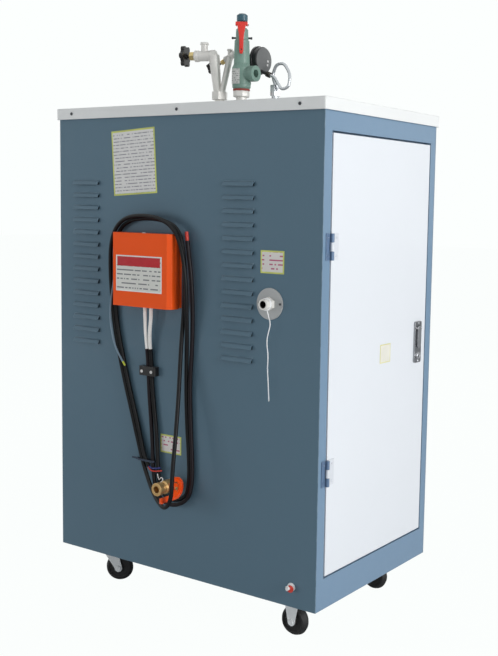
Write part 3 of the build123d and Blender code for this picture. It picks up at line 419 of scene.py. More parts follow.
# Inlet string. A thin white string is tied round the inlet pipe and hangs down the panel.
string_cotton = finish(
    "string_cotton", srgb(252, 252, 252), 0.85, tone=0.05, tone_scale=90.0, edge=0.0003,
    grain_scale=2600.0, grain_depth=0.0002, dust=0.0)
string_route = [
    (0.149, 0.017, 0.7463), (0.144, 0.017, 0.731), (0.138, 0.016, 0.712), (0.146, 0.014, 0.69),
    (0.152, 0.013, 0.666), (0.146, 0.013, 0.632), (0.149, 0.012, 0.598), (0.145, 0.012, 0.558),
    (0.143, 0.012, 0.518),
]
laid("hanging_string", string_route, 0.0024, string_cotton, "inlet_string")

# Housing. Two louvred wide sides, a plain end, a base tray and the door's frame, all folded
# from 2 mm steel sheet and powder-coated one grey-blue; the frame's coat is that blue painted lighter as
# painted light.
# Its lighter rub colour along the edges is partly worn paint and partly a painted highlight on the folded
# edges.
blue_coat = finish(
    "blue_coat", srgb(88, 114, 130), 0.46, specular=0.4, coat=0.05, tone=0.035, tone_scale=1.6, rub=0.55,
    rub_colour=srgb(150, 172, 188), edge=0.0022, grain_scale=700.0, grain_depth=0.00006, dust=0.12)


def dress(material, *names):
    """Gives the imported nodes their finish."""
    for name in names:
        nodes[name].data.materials.clear()
        nodes[name].data.materials.append(material)


dress(blue_coat, "bottom_pan", "front_panel", "rear_panel", "end_panel")
# Painted light: the frame's coat is the housing's blue made lighter, as if lit from the door side, and its
# lighter rub colour on the edges is partly a painted edge highlight.
lit_frame_coat = finish(
    "lit_frame_coat", srgb(112, 140, 166), 0.36, coat=0.2, tone=0.03, tone_scale=1.6, rub=0.5,
    rub_colour=srgb(170, 188, 204), edge=0.0022, grain_scale=700.0, dust=0.08)
dress(lit_frame_coat, "door_frame")

# Door and hinges. A folded white tray on two steel butt hinges of three knuckles, which stand
# proud. Their frame leaves are coated near the frame's blue and their door leaves white.
white_coat = finish(
    "white_coat", srgb(226, 230, 235), 0.38, coat=0.15, tone=0.02, tone_scale=1.8, rub=0.4,
    rub_colour=srgb(176, 182, 190), edge=0.002, grain_scale=700.0, dust=0.06)
hinge_plate = finish(
    "hinge_plate", srgb(96, 120, 150), 0.4, metallic=0.1, tone=0.08, rub=0.5,
    rub_colour=srgb(225, 228, 232), grain_scale=1600.0)
hinge_leaf = finish(
    "hinge_leaf", srgb(218, 222, 228), 0.4, metallic=0.05, rub=0.4, rub_colour=srgb(240, 240, 242),
    grain_scale=1600.0)
dress(white_coat, "door")
dress(hinge_plate, "frame_hinges")
dress(hinge_leaf, "door_hinges")

# Lock. A flush swing handle in a cast zinc housing, both chrome-plated, with a round key
# cylinder below the handle. A screw at each end of the plate holds it to the door.
lock_chrome = finish(
    "lock_chrome", srgb(148, 150, 154), 0.22, metallic=0.9, tone=0.10, rub=0.7,
    rub_colour=srgb(230, 230, 232), edge=0.002, grain_scale=1600.0)
handle_chrome = finish(
    "handle_chrome", srgb(196, 198, 202), 0.18, metallic=1.0, rub=0.4, rub_colour=srgb(240, 240, 240),
    grain_scale=1600.0, dust=0.03)
dress(lock_chrome, "lock_plate")
dress(handle_chrome, "lock_lever")

# Lid. A shallow tray of pale coated steel, folded down over the housing's top edge and held
# by three pan-head screws on each wide side.
lid_coat = finish(
    "lid_coat", srgb(234, 236, 235), 0.46, coat=0.08, tone=0.03, tone_scale=2.2, rub=0.4,
    rub_colour=srgb(180, 184, 188), edge=0.002, grain_scale=700.0, grain_depth=0.00007, dust=0.15)
dress(lid_coat, "lid")


def alone(piece):
    unselect()
    piece.select_set(True)
    bpy.context.view_layer.objects.active = piece


def stand(piece, place, axis):
    """Stands a piece that was drawn up from the origin on its place, along its axis."""
    piece.rotation_mode = "QUATERNION"
    piece.rotation_quaternion = Vector(axis).to_track_quat("Z", "Y")
    piece.location = place
    return piece


def open_mesh():
    bpy.ops.object.mode_set(mode="EDIT")
    bpy.ops.mesh.select_all(action="SELECT")


def close_mesh():
    """Turns all the faces outwards and leaves the mesh."""
    bpy.ops.mesh.select_all(action="SELECT")
    bpy.ops.mesh.normals_make_consistent(inside=False)
    bpy.ops.object.mode_set(mode="OBJECT")


def turned(outline, place, axis, sides=32):
    """A round piece, drawn up ring by ring from its foot: (radius, height) pairs."""
    unselect()
    bpy.ops.mesh.primitive_circle_add(vertices=sides, radius=outline[0][0], fill_type="NGON")
    piece = bpy.context.object
    open_mesh()
    for (radius, height), (wider, higher) in zip(outline, outline[1:]):
        bpy.ops.mesh.extrude_region_move(TRANSFORM_OT_translate={"value": (0, 0, higher - height)})
        bpy.ops.transform.resize(value=(wider / radius, wider / radius, 1), center_override=(0, 0, higher))
    close_mesh()
    return stand(piece, place, axis)


def joined(pieces):
    unselect()
    for piece in pieces:
        piece.select_set(True)
    bpy.context.view_layer.objects.active = pieces[0]
    bpy.ops.object.transform_apply(location=True, rotation=True, scale=True)
    bpy.ops.object.join()
    return bpy.context.object


def settle(piece, name, body, slot, *finishes, edge=0.0, smooth=32.0):
    """Puts a piece's place into its mesh, softens its edges and hands it to its body."""
    alone(piece)
    bpy.ops.object.transform_apply(location=True, rotation=True, scale=True)
    if edge:
        soft = piece.modifiers.new("edge", "BEVEL")
        soft.width = edge
        soft.segments = 2
        soft.limit_method = "ANGLE"
        soft.angle_limit = math.radians(40)
        bpy.ops.object.modifier_apply(modifier=soft.name)
    bpy.ops.object.shade_smooth_by_angle(angle=math.radians(smooth))
    piece.name = name
    piece.data.name = name
    for material in finishes:
        piece.data.materials.append(material)
    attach(piece, body)
    return piece


def block(size, place):
    unselect()
    bpy.ops.mesh.primitive_cube_add(size=1, location=place)
    bpy.context.object.scale = size
    return bpy.context.object


def open_tube(radius, depth, sides):
    unselect()
    bpy.ops.mesh.primitive_cylinder_add(vertices=sides, radius=radius, depth=depth, end_fill_type="NOTHING")
    return bpy.context.object


def wound(radius, thickness, sides, place, axis):
    """One turn of a cord, or one crest of a thread."""
    unselect()
    bpy.ops.mesh.primitive_torus_add(major_radius=radius, minor_radius=thickness, major_segments=48,
                                     minor_segments=sides)
    return stand(bpy.context.object, place, axis)


def thicken(piece, thickness, side):
    """Gives a sheet its walls: outwards with side 1, inwards with side -1."""
    walls = piece.modifiers.new("walls", "SOLIDIFY")
    walls.thickness = thickness
    walls.offset = side
    bpy.ops.object.modifier_apply(modifier=walls.name)


def pan_screw(place, axis, radius):
    """A pan-head screw with a round recess for the driver."""
    return turned([(radius, 0), (radius, radius * 0.28), (radius * 0.8, radius * 0.5),
                   (radius * 0.42, radius * 0.6), (radius * 0.34, radius * 0.6),
                   (radius * 0.26, radius * 0.25)], place, axis, 20)


screw_steel = finish(
    "screw_steel", srgb(74, 76, 80), 0.38, metallic=0.8, tone=0.12, tone_scale=60.0, rub=0.5,
    rub_colour=srgb(190, 190, 192), edge=0.0006, grain_scale=2000.0)
lid_rim_stand = 0.0066
lid_screws = []
for inset in (0.846, 0.457, 0.068):
    lid_screws.append(pan_screw(at(inset, lid_rim_stand, 1.245), (0, -1, 0), 0.0042))
    hidden_side = at(inset, -0.565 - lid_rim_stand, 1.245)
    lid_screws.append(pan_screw(hidden_side, (0, 1, 0), 0.0042))
settle(joined(lid_screws), "lid_screws", "housing", "dark_chrome", screw_steel)

# Instruction sheet and stickers. Paper under clear film with yellow-green rims, stuck above the
# box, the inlet and the drain, with plain rules for print, and a small blank one on the door.


def rules_group():
    """Rows of short ruled dashes, as a mask of where the ink is."""
    group = bpy.data.node_groups.new("ruled_print", "ShaderNodeTree")
    for name, default in (("Spacing", 0.01), ("Share", 0.4), ("Dash", 160.0), ("Slope", 0.0),
                          ("Gaps", 0.3)):
        group_socket(group, name, "NodeSocketFloat", "INPUT", default)
    group_socket(group, "Ink", "NodeSocketFloat", "OUTPUT")
    put = group.nodes.new
    join = group.links.new
    given = put("NodeGroupInput")
    result = put("NodeGroupOutput")
    place = put("ShaderNodeTexCoord")
    parts = put("ShaderNodeSeparateXYZ")
    join(place.outputs["Object"], parts.inputs[0])

    def maths(operation, first, second=0.0):
        return node_maths(group, operation, first, second)

    along = maths("ADD", parts.outputs["X"], parts.outputs["Y"])
    level_up = maths("SUBTRACT", parts.outputs["Z"], maths("MULTIPLY", along, given.outputs["Slope"]))
    row = maths("DIVIDE", level_up, given.outputs["Spacing"])
    on_rule = maths("LESS_THAN", maths("FRACT", row), given.outputs["Share"])
    cell = put("ShaderNodeCombineXYZ")
    join(maths("FLOOR", maths("MULTIPLY", along, given.outputs["Dash"])), cell.inputs[0])
    join(maths("FLOOR", row), cell.inputs[1])
    chance = put("ShaderNodeTexWhiteNoise")
    chance.noise_dimensions = "2D"
    join(cell.outputs[0], chance.inputs["Vector"])
    inked = maths("GREATER_THAN", chance.outputs["Value"], given.outputs["Gaps"])
    join(maths("MULTIPLY", on_rule, inked), result.inputs["Ink"])
    return group


ruled_print = rules_group()


def printed(name, paper, ink, spacing, share, dash, slope=0.0, gaps=0.3):
    """Paper with ruled dashes on it, under film."""
    material = finish(name, paper, 0.45, coat=0.2, tone=0.03, tone_scale=12.0, rub=0.2, edge=0.0006,
                      rub_colour=srgb(190, 190, 185), grain_scale=1200.0, dust=0.03)
    tree = material.node_tree
    rules = tree.nodes.new("ShaderNodeGroup")
    rules.node_tree = ruled_print
    for socket, value in (("Spacing", spacing), ("Share", share), ("Dash", dash), ("Slope", slope),
                          ("Gaps", gaps)):
        rules.inputs[socket].default_value = value
    inking = tree.nodes.new("ShaderNodeMix")
    inking.data_type = "RGBA"
    inking.inputs[7].default_value = ink
    tree.links.new(rules.outputs["Ink"], inking.inputs["Factor"])
    tree.links.new(tree.nodes["surface"].outputs["Colour"], inking.inputs[6])
    tree.links.new(inking.outputs[2], tree.nodes["Principled BSDF"].inputs["Base Color"])
    return material


def label(name, place, width, tall, tilt, rim, body, slot, face_finish, rim_finish, facing="wide"):
    """A rimmed label: a flat plate, its border set off by an inset."""
    unselect()
    bpy.ops.mesh.primitive_plane_add(size=1)
    plate = bpy.context.object
    plate.scale = (width, tall, 1)
    bpy.ops.object.transform_apply(scale=True)
    open_mesh()
    bpy.ops.mesh.inset(thickness=rim, depth=0.00015)
    bpy.ops.object.mode_set(mode="OBJECT")
    for face in plate.data.polygons:
        face.material_index = 0 if face.select else 1
    thicken(plate, 0.0004, -1)
    if facing == "wide":
        plate.rotation_euler = (math.pi / 2, -tilt, 0)
    else:
        plate.rotation_euler = (math.pi / 2, 0, math.pi / 2)
    plate.location = place
    return settle(plate, name, body, slot, face_finish, rim_finish)


sheet_tilt = math.radians(3.5)
sheet_print = printed("sheet_print", srgb(226, 225, 223), srgb(138, 138, 146), 0.0088, 0.27, 340.0,
                      math.tan(sheet_tilt))
sheet_rim = finish(
    "sheet_rim", srgb(206, 214, 110), 0.45, coat=0.2, tone=0.2, tone_scale=16.0, rub=0.2, edge=0.0006,
    grain_scale=1200.0, dust=0.03)
sticker_print = printed("sticker_print", srgb(224, 220, 216), srgb(184, 96, 124), 0.0105, 0.34, 190.0, 0.0,
                        0.55)
label("instruction_sheet", at(0.6135, 0.0006, 1.111), 0.158, 0.174, sheet_tilt, 0.0045, "housing",
      "white_sheet", sheet_print, sheet_rim)
label("inlet_sticker", at(0.147, 0.0006, 0.8635), 0.072, 0.057, 0.0, 0.004, "housing", "white_sheet",
      sticker_print, sheet_rim)
label("drain_sticker", at(0.477, 0.0006, 0.357), 0.074, 0.05, 0.0, 0.004, "housing", "white_sheet",
      sticker_print, sheet_rim)
door_sticker_face = finish(
    "door_sticker_face", srgb(228, 226, 214), 0.45, tone_scale=30.0, edge=0.0005, grain_scale=1200.0,
    dust=0.02)
door_sticker_rim = finish(
    "door_sticker_rim", srgb(222, 218, 148), 0.45, tone=0.1, tone_scale=30.0, edge=0.0005,
    grain_scale=1200.0, dust=0.02)
label("door_sticker", at(-0.0006, -0.311, 0.617), 0.054, 0.05, 0.0, 0.0025, "door", "white_sheet",
      door_sticker_face, door_sticker_rim, facing="door")

# Lock details. A chromed key cylinder with its slot below the handle, and a pan-head screw at
# each end of the lock's plate.
lock_face = -0.005
lock_line = -0.485
lock_middle = 0.631
key_height = lock_middle - 0.0385
key_cylinder = turned([(0.0088, 0), (0.0088, 0.0008), (0.0080, 0.0016), (0.0058, 0.0016),
                       (0.0054, 0.0010)], at(lock_face - 0.003, lock_line, key_height), (1, 0, 0))
settle(key_cylinder, "key_cylinder", "door", "bright_chrome", handle_chrome)
key_slot = turned([(0.0016, 0), (0.0016, 0.0006), (0.0012, 0.0008)],
                  at(lock_face - 0.0041, lock_line, key_height), (1, 0, 0), 12)
alone(key_slot)
key_slot.scale = (1.0, 2.6, 1.0)
settle(key_slot, "key_slot", "door", "dark_chrome", screw_steel)
lock_screws = [pan_screw(at(lock_face, lock_line, lock_middle + side * 0.0525), (1, 0, 0), 0.0034)
               for side in (-1, 1)]
settle(joined(lock_screws), "lock_screws", "door", "bright_chrome", handle_chrome)

# Hinge screws. Two steel screws in each leaf of both hinges, coated with the leaf they hold,
# so those of the frame's leaves stay and those of the door's leaves swing with it.
frame_screws = []
door_screws = []
for height in (0.348, 0.906):
    for side in (-1, 1):
        frame_screws.append(pan_screw(at(-0.002, -0.0215, height + side * 0.022), (1, 0, 0), 0.003))
        door_screws.append(pan_screw(at(-0.002, -0.058, height + side * 0.022), (1, 0, 0), 0.003))
settle(joined(frame_screws), "frame_hinge_screws", "housing", "bright_chrome", hinge_plate)
settle(joined(door_screws), "door_hinge_screws", "door", "bright_chrome", hinge_leaf)

# Casters. Two fixed and two swivelling casters with pressed, zinc-plated forks and black rubber
# wheels, each bolted under the base tray by the four corners of its plate.
zinc_plate = finish(
    "zinc_plate", srgb(238, 240, 240), 0.36, metallic=0.2, tone=0.10, tone_scale=18.0, rub=0.4,
    rub_colour=srgb(230, 230, 228), edge=0.001, dust=0.18)
tyre_rubber = finish(
    "tyre_rubber", srgb(24, 23, 24), 0.6, tone=0.14, tone_scale=20.0, rub=0.3,
    rub_colour=srgb(84, 82, 80), edge=0.003, grain_scale=900.0, grain_depth=0.00015, dust=0.14)
for row in ("front", "rear"):
    dress(zinc_plate, "fixed_caster_" + row, "swivel_plate_" + row, "swivel_fork_" + row)
    dress(tyre_rubber, "fixed_wheel_" + row, "swivel_wheel_" + row)
bolt_zinc = finish(
    "bolt_zinc", srgb(170, 170, 166), 0.4, metallic=0.8, tone=0.12, tone_scale=60.0, rub=0.4,
    rub_colour=srgb(226, 226, 222), edge=0.0006, grain_scale=1600.0, dust=0.15)
caster_bolts = []
for caster in ("fixed_caster_front", "fixed_caster_rear", "swivel_plate_front", "swivel_plate_rear"):
    low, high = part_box(caster)
    for across in (-0.036, 0.036):
        for along in (-0.024, 0.024):
            place = Vector(((low.x + high.x) / 2 + across, (low.y + high.y) / 2 + along, high.z - 0.003))
            caster_bolts.append(turned([(0.0062, 0), (0.0062, 0.0030), (0.0054, 0.0038)], place,
                                       (0, 0, -1), 6))
settle(joined(caster_bolts), "caster_plate_bolts", "housing", "zinc", bolt_zinc)

# Drum. The hot-water drum inside is rolled steel plate with dished heads, welded to a ring that
# stands on the base tray.
drum_plate = finish(
    "drum_plate", srgb(120, 122, 124), 0.55, metallic=0.5, tone=0.14, tone_scale=7.0, rub=0.3,
    rub_colour=srgb(170, 165, 158), edge=0.003, grain_scale=500.0, grain_depth=0.0002, dust=0.2)
dress(drum_plate, "drum_ring", "drum_bottom_head", "drum_shell", "drum_top_head")

# Safety valve. A green-painted cast body and bonnet with a teal cap, screwed on a silver pipe
# that comes up through the lid from the drum. A red lifting lever hangs down its front.
green_casting = finish(
    "green_casting", srgb(122, 152, 140), 0.5, coat=0.15, tone=0.10, tone_scale=26.0, rub=0.5,
    rub_colour=srgb(178, 190, 182), edge=0.0018, grain_scale=520.0, grain_depth=0.00035, dust=0.1)
teal_cap = finish(
    "teal_cap", srgb(52, 92, 106), 0.42, coat=0.2, tone=0.08, tone_scale=26.0, rub=0.5,
    rub_colour=srgb(150, 165, 170), edge=0.0015, grain_scale=900.0, dust=0.1)
red_lever_coat = finish(
    "red_lever_coat", srgb(232, 52, 38), 0.34, coat=0.3, tone=0.05, tone_scale=26.0, rub=0.45,
    rub_colour=srgb(245, 130, 110), grain_scale=900.0, dust=0.04)
silver_pipe_paint = finish(
    "silver_pipe_paint", srgb(230, 228, 223), 0.4, metallic=0.25, tone=0.08, tone_scale=30.0, rub=0.5,
    rub_colour=srgb(238, 237, 234), edge=0.0015, grain_scale=600.0, grain_depth=0.0003, dust=0.1)
dress(green_casting, "safety_valve_body", "safety_valve_bonnet")
dress(teal_cap, "safety_valve_cap")

# Its lifting lever is a pressed fork: a strip that narrows down the bonnet from a broad head,
# with two arms back to the pivot pin and a hole for a pull cord near its lower end.
valve_low, valve_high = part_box("safety_valve_pipe")
valve_axis = Vector(((valve_low.x + valve_high.x) / 2, (valve_low.y + valve_high.y) / 2, 0))
lever_turn = math.radians(-56)
lever_reach = 0.0265
lever_sheet = 0.003
lever_pin_height = 1.503
lever_outline = [(0.0245, 1.508), (0.0240, 1.497), (0.0190, 1.486), (0.0145, 1.474), (0.0120, 1.455),
                 (0.0112, 1.428), (0.0070, 1.421)]


def lifting_lever():
    unselect()
    top_width, top_height = lever_outline[0]
    bpy.ops.mesh.primitive_plane_add(size=1)
    strip = bpy.context.object
    strip.scale = (lever_sheet, top_width, 1)
    strip.location = (lever_reach - lever_sheet / 2, 0, skirt + top_height)
    bpy.ops.object.transform_apply(location=True, rotation=True, scale=True)
    open_mesh()
    for (width, height), (narrower, lower) in zip(lever_outline, lever_outline[1:]):
        bpy.ops.mesh.extrude_region_move(TRANSFORM_OT_translate={"value": (0, 0, lower - height)})
        bpy.ops.transform.resize(value=(1, narrower / width, 1),
                                 center_override=(lever_reach - lever_sheet / 2, 0, skirt + lower))
    close_mesh()
    hole_place = (lever_reach - 0.01, 0, skirt + 1.4325)
    cord_hole = turned([(0.0021, 0), (0.0021, 0.02)], hole_place, (1, 0, 0), 20)
    cut = strip.modifiers.new("cord_hole", "BOOLEAN")
    cut.object = cord_hole
    cut.solver = "EXACT"
    alone(strip)
    bpy.ops.object.modifier_apply(modifier=cut.name)
    bpy.data.objects.remove(cord_hole)
    parts = [strip]
    for side in (-1, 1):
        pin = Vector((0, side * 0.0155, skirt + lever_pin_height))
        arm = pin + Vector(((lever_reach - 0.004) / 2, 0, 0))
        parts.append(block((lever_reach + 0.004, 0.0026, 0.010), arm))
        parts.append(turned([(0.0050, 0), (0.0050, 0.0026)], pin - Vector((0, 0.0013, 0)), (0, 1, 0), 24))
        shoulder = (lever_reach - lever_sheet / 2, side * 0.0139, skirt + lever_pin_height)
        parts.append(block((lever_sheet * 0.9, 0.0060, 0.010), shoulder))
    lever = joined(parts)
    lever.rotation_euler = (0, 0, lever_turn)
    lever.location = valve_axis
    return lever


lever = settle(lifting_lever(), "lifting_lever", "safety_valve_lever", "red_lever", red_lever_coat,
               edge=0.0007)
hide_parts("safety_valve_lever")

# Valve dressings: a thin ruled plate bent round the body, two set screws at the bonnet's
# shoulder, a red ring for a seal at the body's foot, and a union nut on the pipe.
plate_metal = printed("plate_metal", srgb(206, 208, 204), srgb(104, 110, 108), 0.0060, 0.3, 260.0, 0.0, 0.5)
body_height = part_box("safety_valve_body")[0].z
name_plate = open_tube(0.0273, 0.042, 96)
bpy.ops.object.mode_set(mode="EDIT")
bpy.ops.mesh.select_mode(type="FACE")
bpy.ops.mesh.select_all(action="DESELECT")
bpy.ops.object.mode_set(mode="OBJECT")
for face in name_plate.data.polygons:
    around = math.degrees(math.atan2(face.center.y, face.center.x))
    face.select = not -130 < around < -62
bpy.ops.object.mode_set(mode="EDIT")
bpy.ops.mesh.delete(type="FACE")
bpy.ops.object.mode_set(mode="OBJECT")
thicken(name_plate, 0.0007, 1)
name_plate.location = valve_axis + Vector((0, 0, body_height + 0.034))
settle(name_plate, "valve_plate", "housing", "silver_pipe", plate_metal)
shoulder_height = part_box("safety_valve_bonnet")[0].z + 0.072
set_screws = []
for side in (-1, 1):
    outward = level * side
    set_screws.append(turned([(0.0028, 0), (0.0028, 0.0085), (0.0036, 0.0085), (0.0036, 0.0120),
                              (0.0026, 0.0130)], valve_axis + outward * 0.016
                             + Vector((0, 0, shoulder_height)), outward, 20))
settle(joined(set_screws), "bonnet_set_screws", "housing", "black_plastic", screw_steel)
seal_red = finish(
    "seal_red", srgb(150, 62, 52), 0.6, tone=0.1, tone_scale=60.0, rub=0.2, edge=0.0006, dust=0.1)
foot_ring = turned([(0.0215, 0), (0.0240, 0.0010), (0.0240, 0.0048), (0.0225, 0.0060)],
                   valve_axis + Vector((0, 0, body_height - 0.0052)), (0, 0, 1), 40)
settle(foot_ring, "valve_foot_seal", "housing", "red_lever", seal_red, edge=0.0004)
union_nut = turned([(0.0190, 0), (0.0232, 0.0020), (0.0232, 0.0180), (0.0215, 0.0200), (0.0180, 0.0225)],
                   valve_axis + Vector((0, 0, skirt + 1.3030)), (0, 0, 1), 8)
settle(union_nut, "valve_union_nut", "housing", "silver_pipe", silver_pipe_paint, edge=0.0008)
dress(silver_pipe_paint, "safety_valve_pipe", "steam_branch")

# Gauge. A black pressed case on a bent loop of bright tube, joined by a dark brass coupling.
# A hexagon nut at the loop's foot, above the lid, joins it to its stub.
gauge_case = finish(
    "gauge_case", srgb(44, 44, 46), 0.4, tone=0.08, tone_scale=26.0, rub=0.4,
    rub_colour=srgb(120, 120, 122), dust=0.08)
bright_tube = finish(
    "bright_tube", srgb(196, 199, 203), 0.24, metallic=0.8, tone_scale=30.0, rub=0.3,
    rub_colour=srgb(240, 240, 240), edge=0.001)
dark_coupling = finish(
    "dark_coupling", srgb(62, 60, 56), 0.4, metallic=0.7, tone=0.1, rub=0.5,
    rub_colour=srgb(190, 180, 150))
dress(gauge_case, "pressure_gauge")
dress(bright_tube, "gauge_syphon")
dress(dark_coupling, "gauge_coupling")

# The gauge's back has a pressed grey cover with two small blank tabs. Its white dial, sunk in
# the case on the far side, has plain numbers, ticks and a black needle, and no glass.
gauge_low, gauge_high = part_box("pressure_gauge")
gauge_radius = 0.037
gauge_depth = 0.022
gauge_middle = Vector((gauge_low.x + gauge_depth, (gauge_low.y + gauge_high.y) / 2,
                       gauge_high.z - gauge_radius - 0.003))
cover_grey = finish(
    "cover_grey", srgb(108, 110, 110), 0.42, tone=0.08, tone_scale=40.0, rub=0.4,
    rub_colour=srgb(170, 172, 172), dust=0.08)
back_cover = turned([(0.0350, 0), (0.0350, 0.0006), (0.0325, 0.0012), (0.0250, 0.0012), (0.0235, 0.0018),
                     (0.0060, 0.0022)], gauge_middle, (1, 0, 0), 56)
settle(back_cover, "gauge_back_cover", "housing", "gauge_case", cover_grey)
tab_white = finish(
    "tab_white", srgb(222, 222, 220), 0.4, tone=0.05, tone_scale=60.0, rub=0.2, edge=0.0005,
    grain_scale=1500.0, dust=0.03)
for index, (across, rise) in enumerate(((0.016, -0.0015), (0.0145, -0.0125))):
    label("gauge_tab_" + str(index + 1), gauge_middle + Vector((0.0022, across, rise)), 0.0075, 0.0058,
          0.0, 0.0008, "housing", "white_enamel", tab_white, tab_white, facing="door")
dial_white = finish(
    "dial_white", srgb(238, 238, 234), 0.5, tone=0.02, tone_scale=30.0, edge=0.0005, grain_scale=1500.0,
    dust=0.02)
dial_face_x = gauge_low.x + 0.003
dial_centre = Vector((dial_face_x, gauge_middle.y, gauge_middle.z))
dial = turned([(0.0345, 0), (0.0345, 0.0003), (0.0335, 0.0004)], dial_centre, (-1, 0, 0), 56)
settle(dial, "gauge_dial", "housing", "white_enamel", dial_white)
dial_ink = finish("dial_ink", srgb(30, 30, 32), 0.5, edge=0.0004, grain_scale=900.0, dust=0.0)


def dial_direction(share):
    """From the bottom left of the dial, seen from its front, round to the bottom right."""
    angle = math.radians(-135 + 270 * share)
    return Vector((0, -math.sin(angle), math.cos(angle)))


ink_lift = Vector((-0.0005, 0, 0))
dial_marks = []
for tick in range(41):
    outward = dial_direction(tick / 40)
    long_tick = tick % 5 == 0
    length = 0.0052 if long_tick else 0.0030
    mark = block((0.0002, 0.0009 if long_tick else 0.0005, length),
                 dial_centre + outward * (0.0320 - length / 2) + ink_lift)
    mark.rotation_mode = "QUATERNION"
    mark.rotation_quaternion = Vector((0, 0, 1)).rotation_difference(outward)
    dial_marks.append(mark)
for number in range(9):
    unselect()
    bpy.ops.object.text_add()
    figure = bpy.context.object
    figure.data.body = str(number * 2)
    figure.data.size = 0.0062
    figure.data.align_x = "CENTER"
    figure.data.align_y = "CENTER"
    figure.data.extrude = 0.0001
    bpy.ops.object.convert(target="MESH")
    figure.rotation_euler = (math.pi / 2, 0, -math.pi / 2)
    figure.location = dial_centre + dial_direction(number / 8) * 0.0225 + ink_lift
    dial_marks.append(figure)
settle(joined(dial_marks), "gauge_dial_marks", "housing", "black_plastic", dial_ink)
needle = turned([(0.0011, -0.008), (0.0012, 0.0), (0.0003, 0.0240)], dial_centre + Vector((-0.0014, 0, 0)),
                dial_direction(0.0), 12)
hub = turned([(0.0035, 0), (0.0035, 0.0012), (0.0022, 0.0018)], dial_centre + Vector((-0.0004, 0, 0)),
             (-1, 0, 0), 24)
settle(joined([needle, hub]), "gauge_needle", "housing", "black_plastic", dial_ink)

# Steam valves. Two valves on the arms of a forked silver pipe, with pale turned-brass bonnets
# and black moulded star knobs on their stems.
pale_brass = finish(
    "pale_brass", srgb(214, 192, 136), 0.34, metallic=0.85, tone=0.1, tone_scale=40.0, rub=0.4,
    rub_colour=srgb(240, 226, 180), edge=0.001)
knob_plastic = finish(
    "knob_plastic", srgb(30, 29, 29), 0.38, tone=0.08, tone_scale=40.0, rub=0.3,
    rub_colour=srgb(96, 96, 96), edge=0.0015, dust=0.08)
dress(pale_brass, "left_valve_bonnet", "right_valve_bonnet")
dress(knob_plastic, "left_valve_handwheel", "right_valve_handwheel")

# Round lips on the branch's upright stubs and a rounded collar on its foot, all turned and
# painted silver with the pipe.
lip_outline = [(0.0101, 0), (0.0122, 0.0010), (0.0122, 0.0060), (0.0110, 0.0074), (0.0070, 0.0074),
               (0.0064, 0.0010)]
left_stub = at(0.60284, -0.27423, 1.4552)
left_lip = turned(lip_outline, left_stub, (0, 0, 1))
right_stub = at(0.538, -0.3095, 1.4396)
right_lip = turned([(radius * 0.66, rise * 0.7) for radius, rise in lip_outline], right_stub, (0, 0, 1))
settle(joined([left_lip, right_lip]), "stub_lips", "housing", "silver_pipe", silver_pipe_paint)
foot_collar = turned([(0.0185, 0), (0.0235, 0.0020), (0.0250, 0.0060), (0.0240, 0.0100), (0.0180, 0.0130)],
                     at(0.552, -0.2825, 1.2610), (0, 0, 1), 40)
settle(foot_collar, "branch_foot_collar", "housing", "silver_pipe", silver_pipe_paint)

# Water inlet. A white enamelled union that comes out through a flat disc of grey plastic, which
# covers the hole in the panel.
disc_plastic = finish(
    "disc_plastic", srgb(176, 178, 178), 0.42, tone=0.04, tone_scale=16.0, rub=0.3,
    rub_colour=srgb(205, 206, 206), grain_scale=1100.0, dust=0.06)
inlet_enamel = finish(
    "inlet_enamel", srgb(236, 234, 228), 0.3, coat=0.2, tone=0.05, tone_scale=40.0, rub=0.4,
    rub_colour=srgb(210, 204, 190), grain_scale=900.0)
dress(disc_plastic, "inlet_disc")
dress(inlet_enamel, "inlet_pipe")

# Two screws hold the disc, the pipe is lined black, and the string is wound round it thrice.
inlet_low, inlet_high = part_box("inlet_disc")
inlet_middle = Vector(((inlet_low.x + inlet_high.x) / 2, inlet_low.y, (inlet_low.z + inlet_high.z) / 2))
disc_screws = [pan_screw(inlet_middle + Vector((side * 0.0325, -0.0001, 0.001)), (0, -1, 0), 0.0030)
               for side in (-1, 1)]
settle(joined(disc_screws), "inlet_disc_screws", "housing", "dark_chrome", screw_steel)
pipe_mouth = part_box("inlet_pipe")[0].y
liner = open_tube(0.0094, 0.074, 48)
thicken(liner, 0.0006, -1)
stand(liner, inlet_middle + Vector((0, pipe_mouth - inlet_middle.y + 0.0385, 0)), (0, 1, 0))
settle(liner, "inlet_liner", "housing", "black_plastic", knob_plastic)
string_turns = []
for index in range(3):
    middle = Vector((inlet_middle.x, wide_side - 0.0150 - index * 0.0022, inlet_middle.z))
    string_turns.append(wound(0.0146, 0.0012, 10, middle, (0.05 * (index - 1), -1, 0.06)))
settle(joined(string_turns), "string_turns", "housing", "white_cord", string_cotton)

# Drain valve. A turned brass ball valve on a nipple that goes in through the panel, with a
# pressed lever coated orange.
drain_brass = finish(
    "drain_brass", srgb(206, 168, 112), 0.36, metallic=0.8, tone=0.12, tone_scale=40.0, rub=0.5,
    rub_colour=srgb(240, 214, 170), edge=0.0015, grain_scale=1100.0, dust=0.08)
orange_lever_coat = finish(
    "orange_lever_coat", srgb(240, 84, 26), 0.34, coat=0.25, tone=0.08, tone_scale=30.0, rub=0.6,
    rub_colour=srgb(252, 190, 150), edge=0.0015, grain_scale=900.0)
dress(drain_brass, "drain_valve")
dress(orange_lever_coat, "drain_lever")

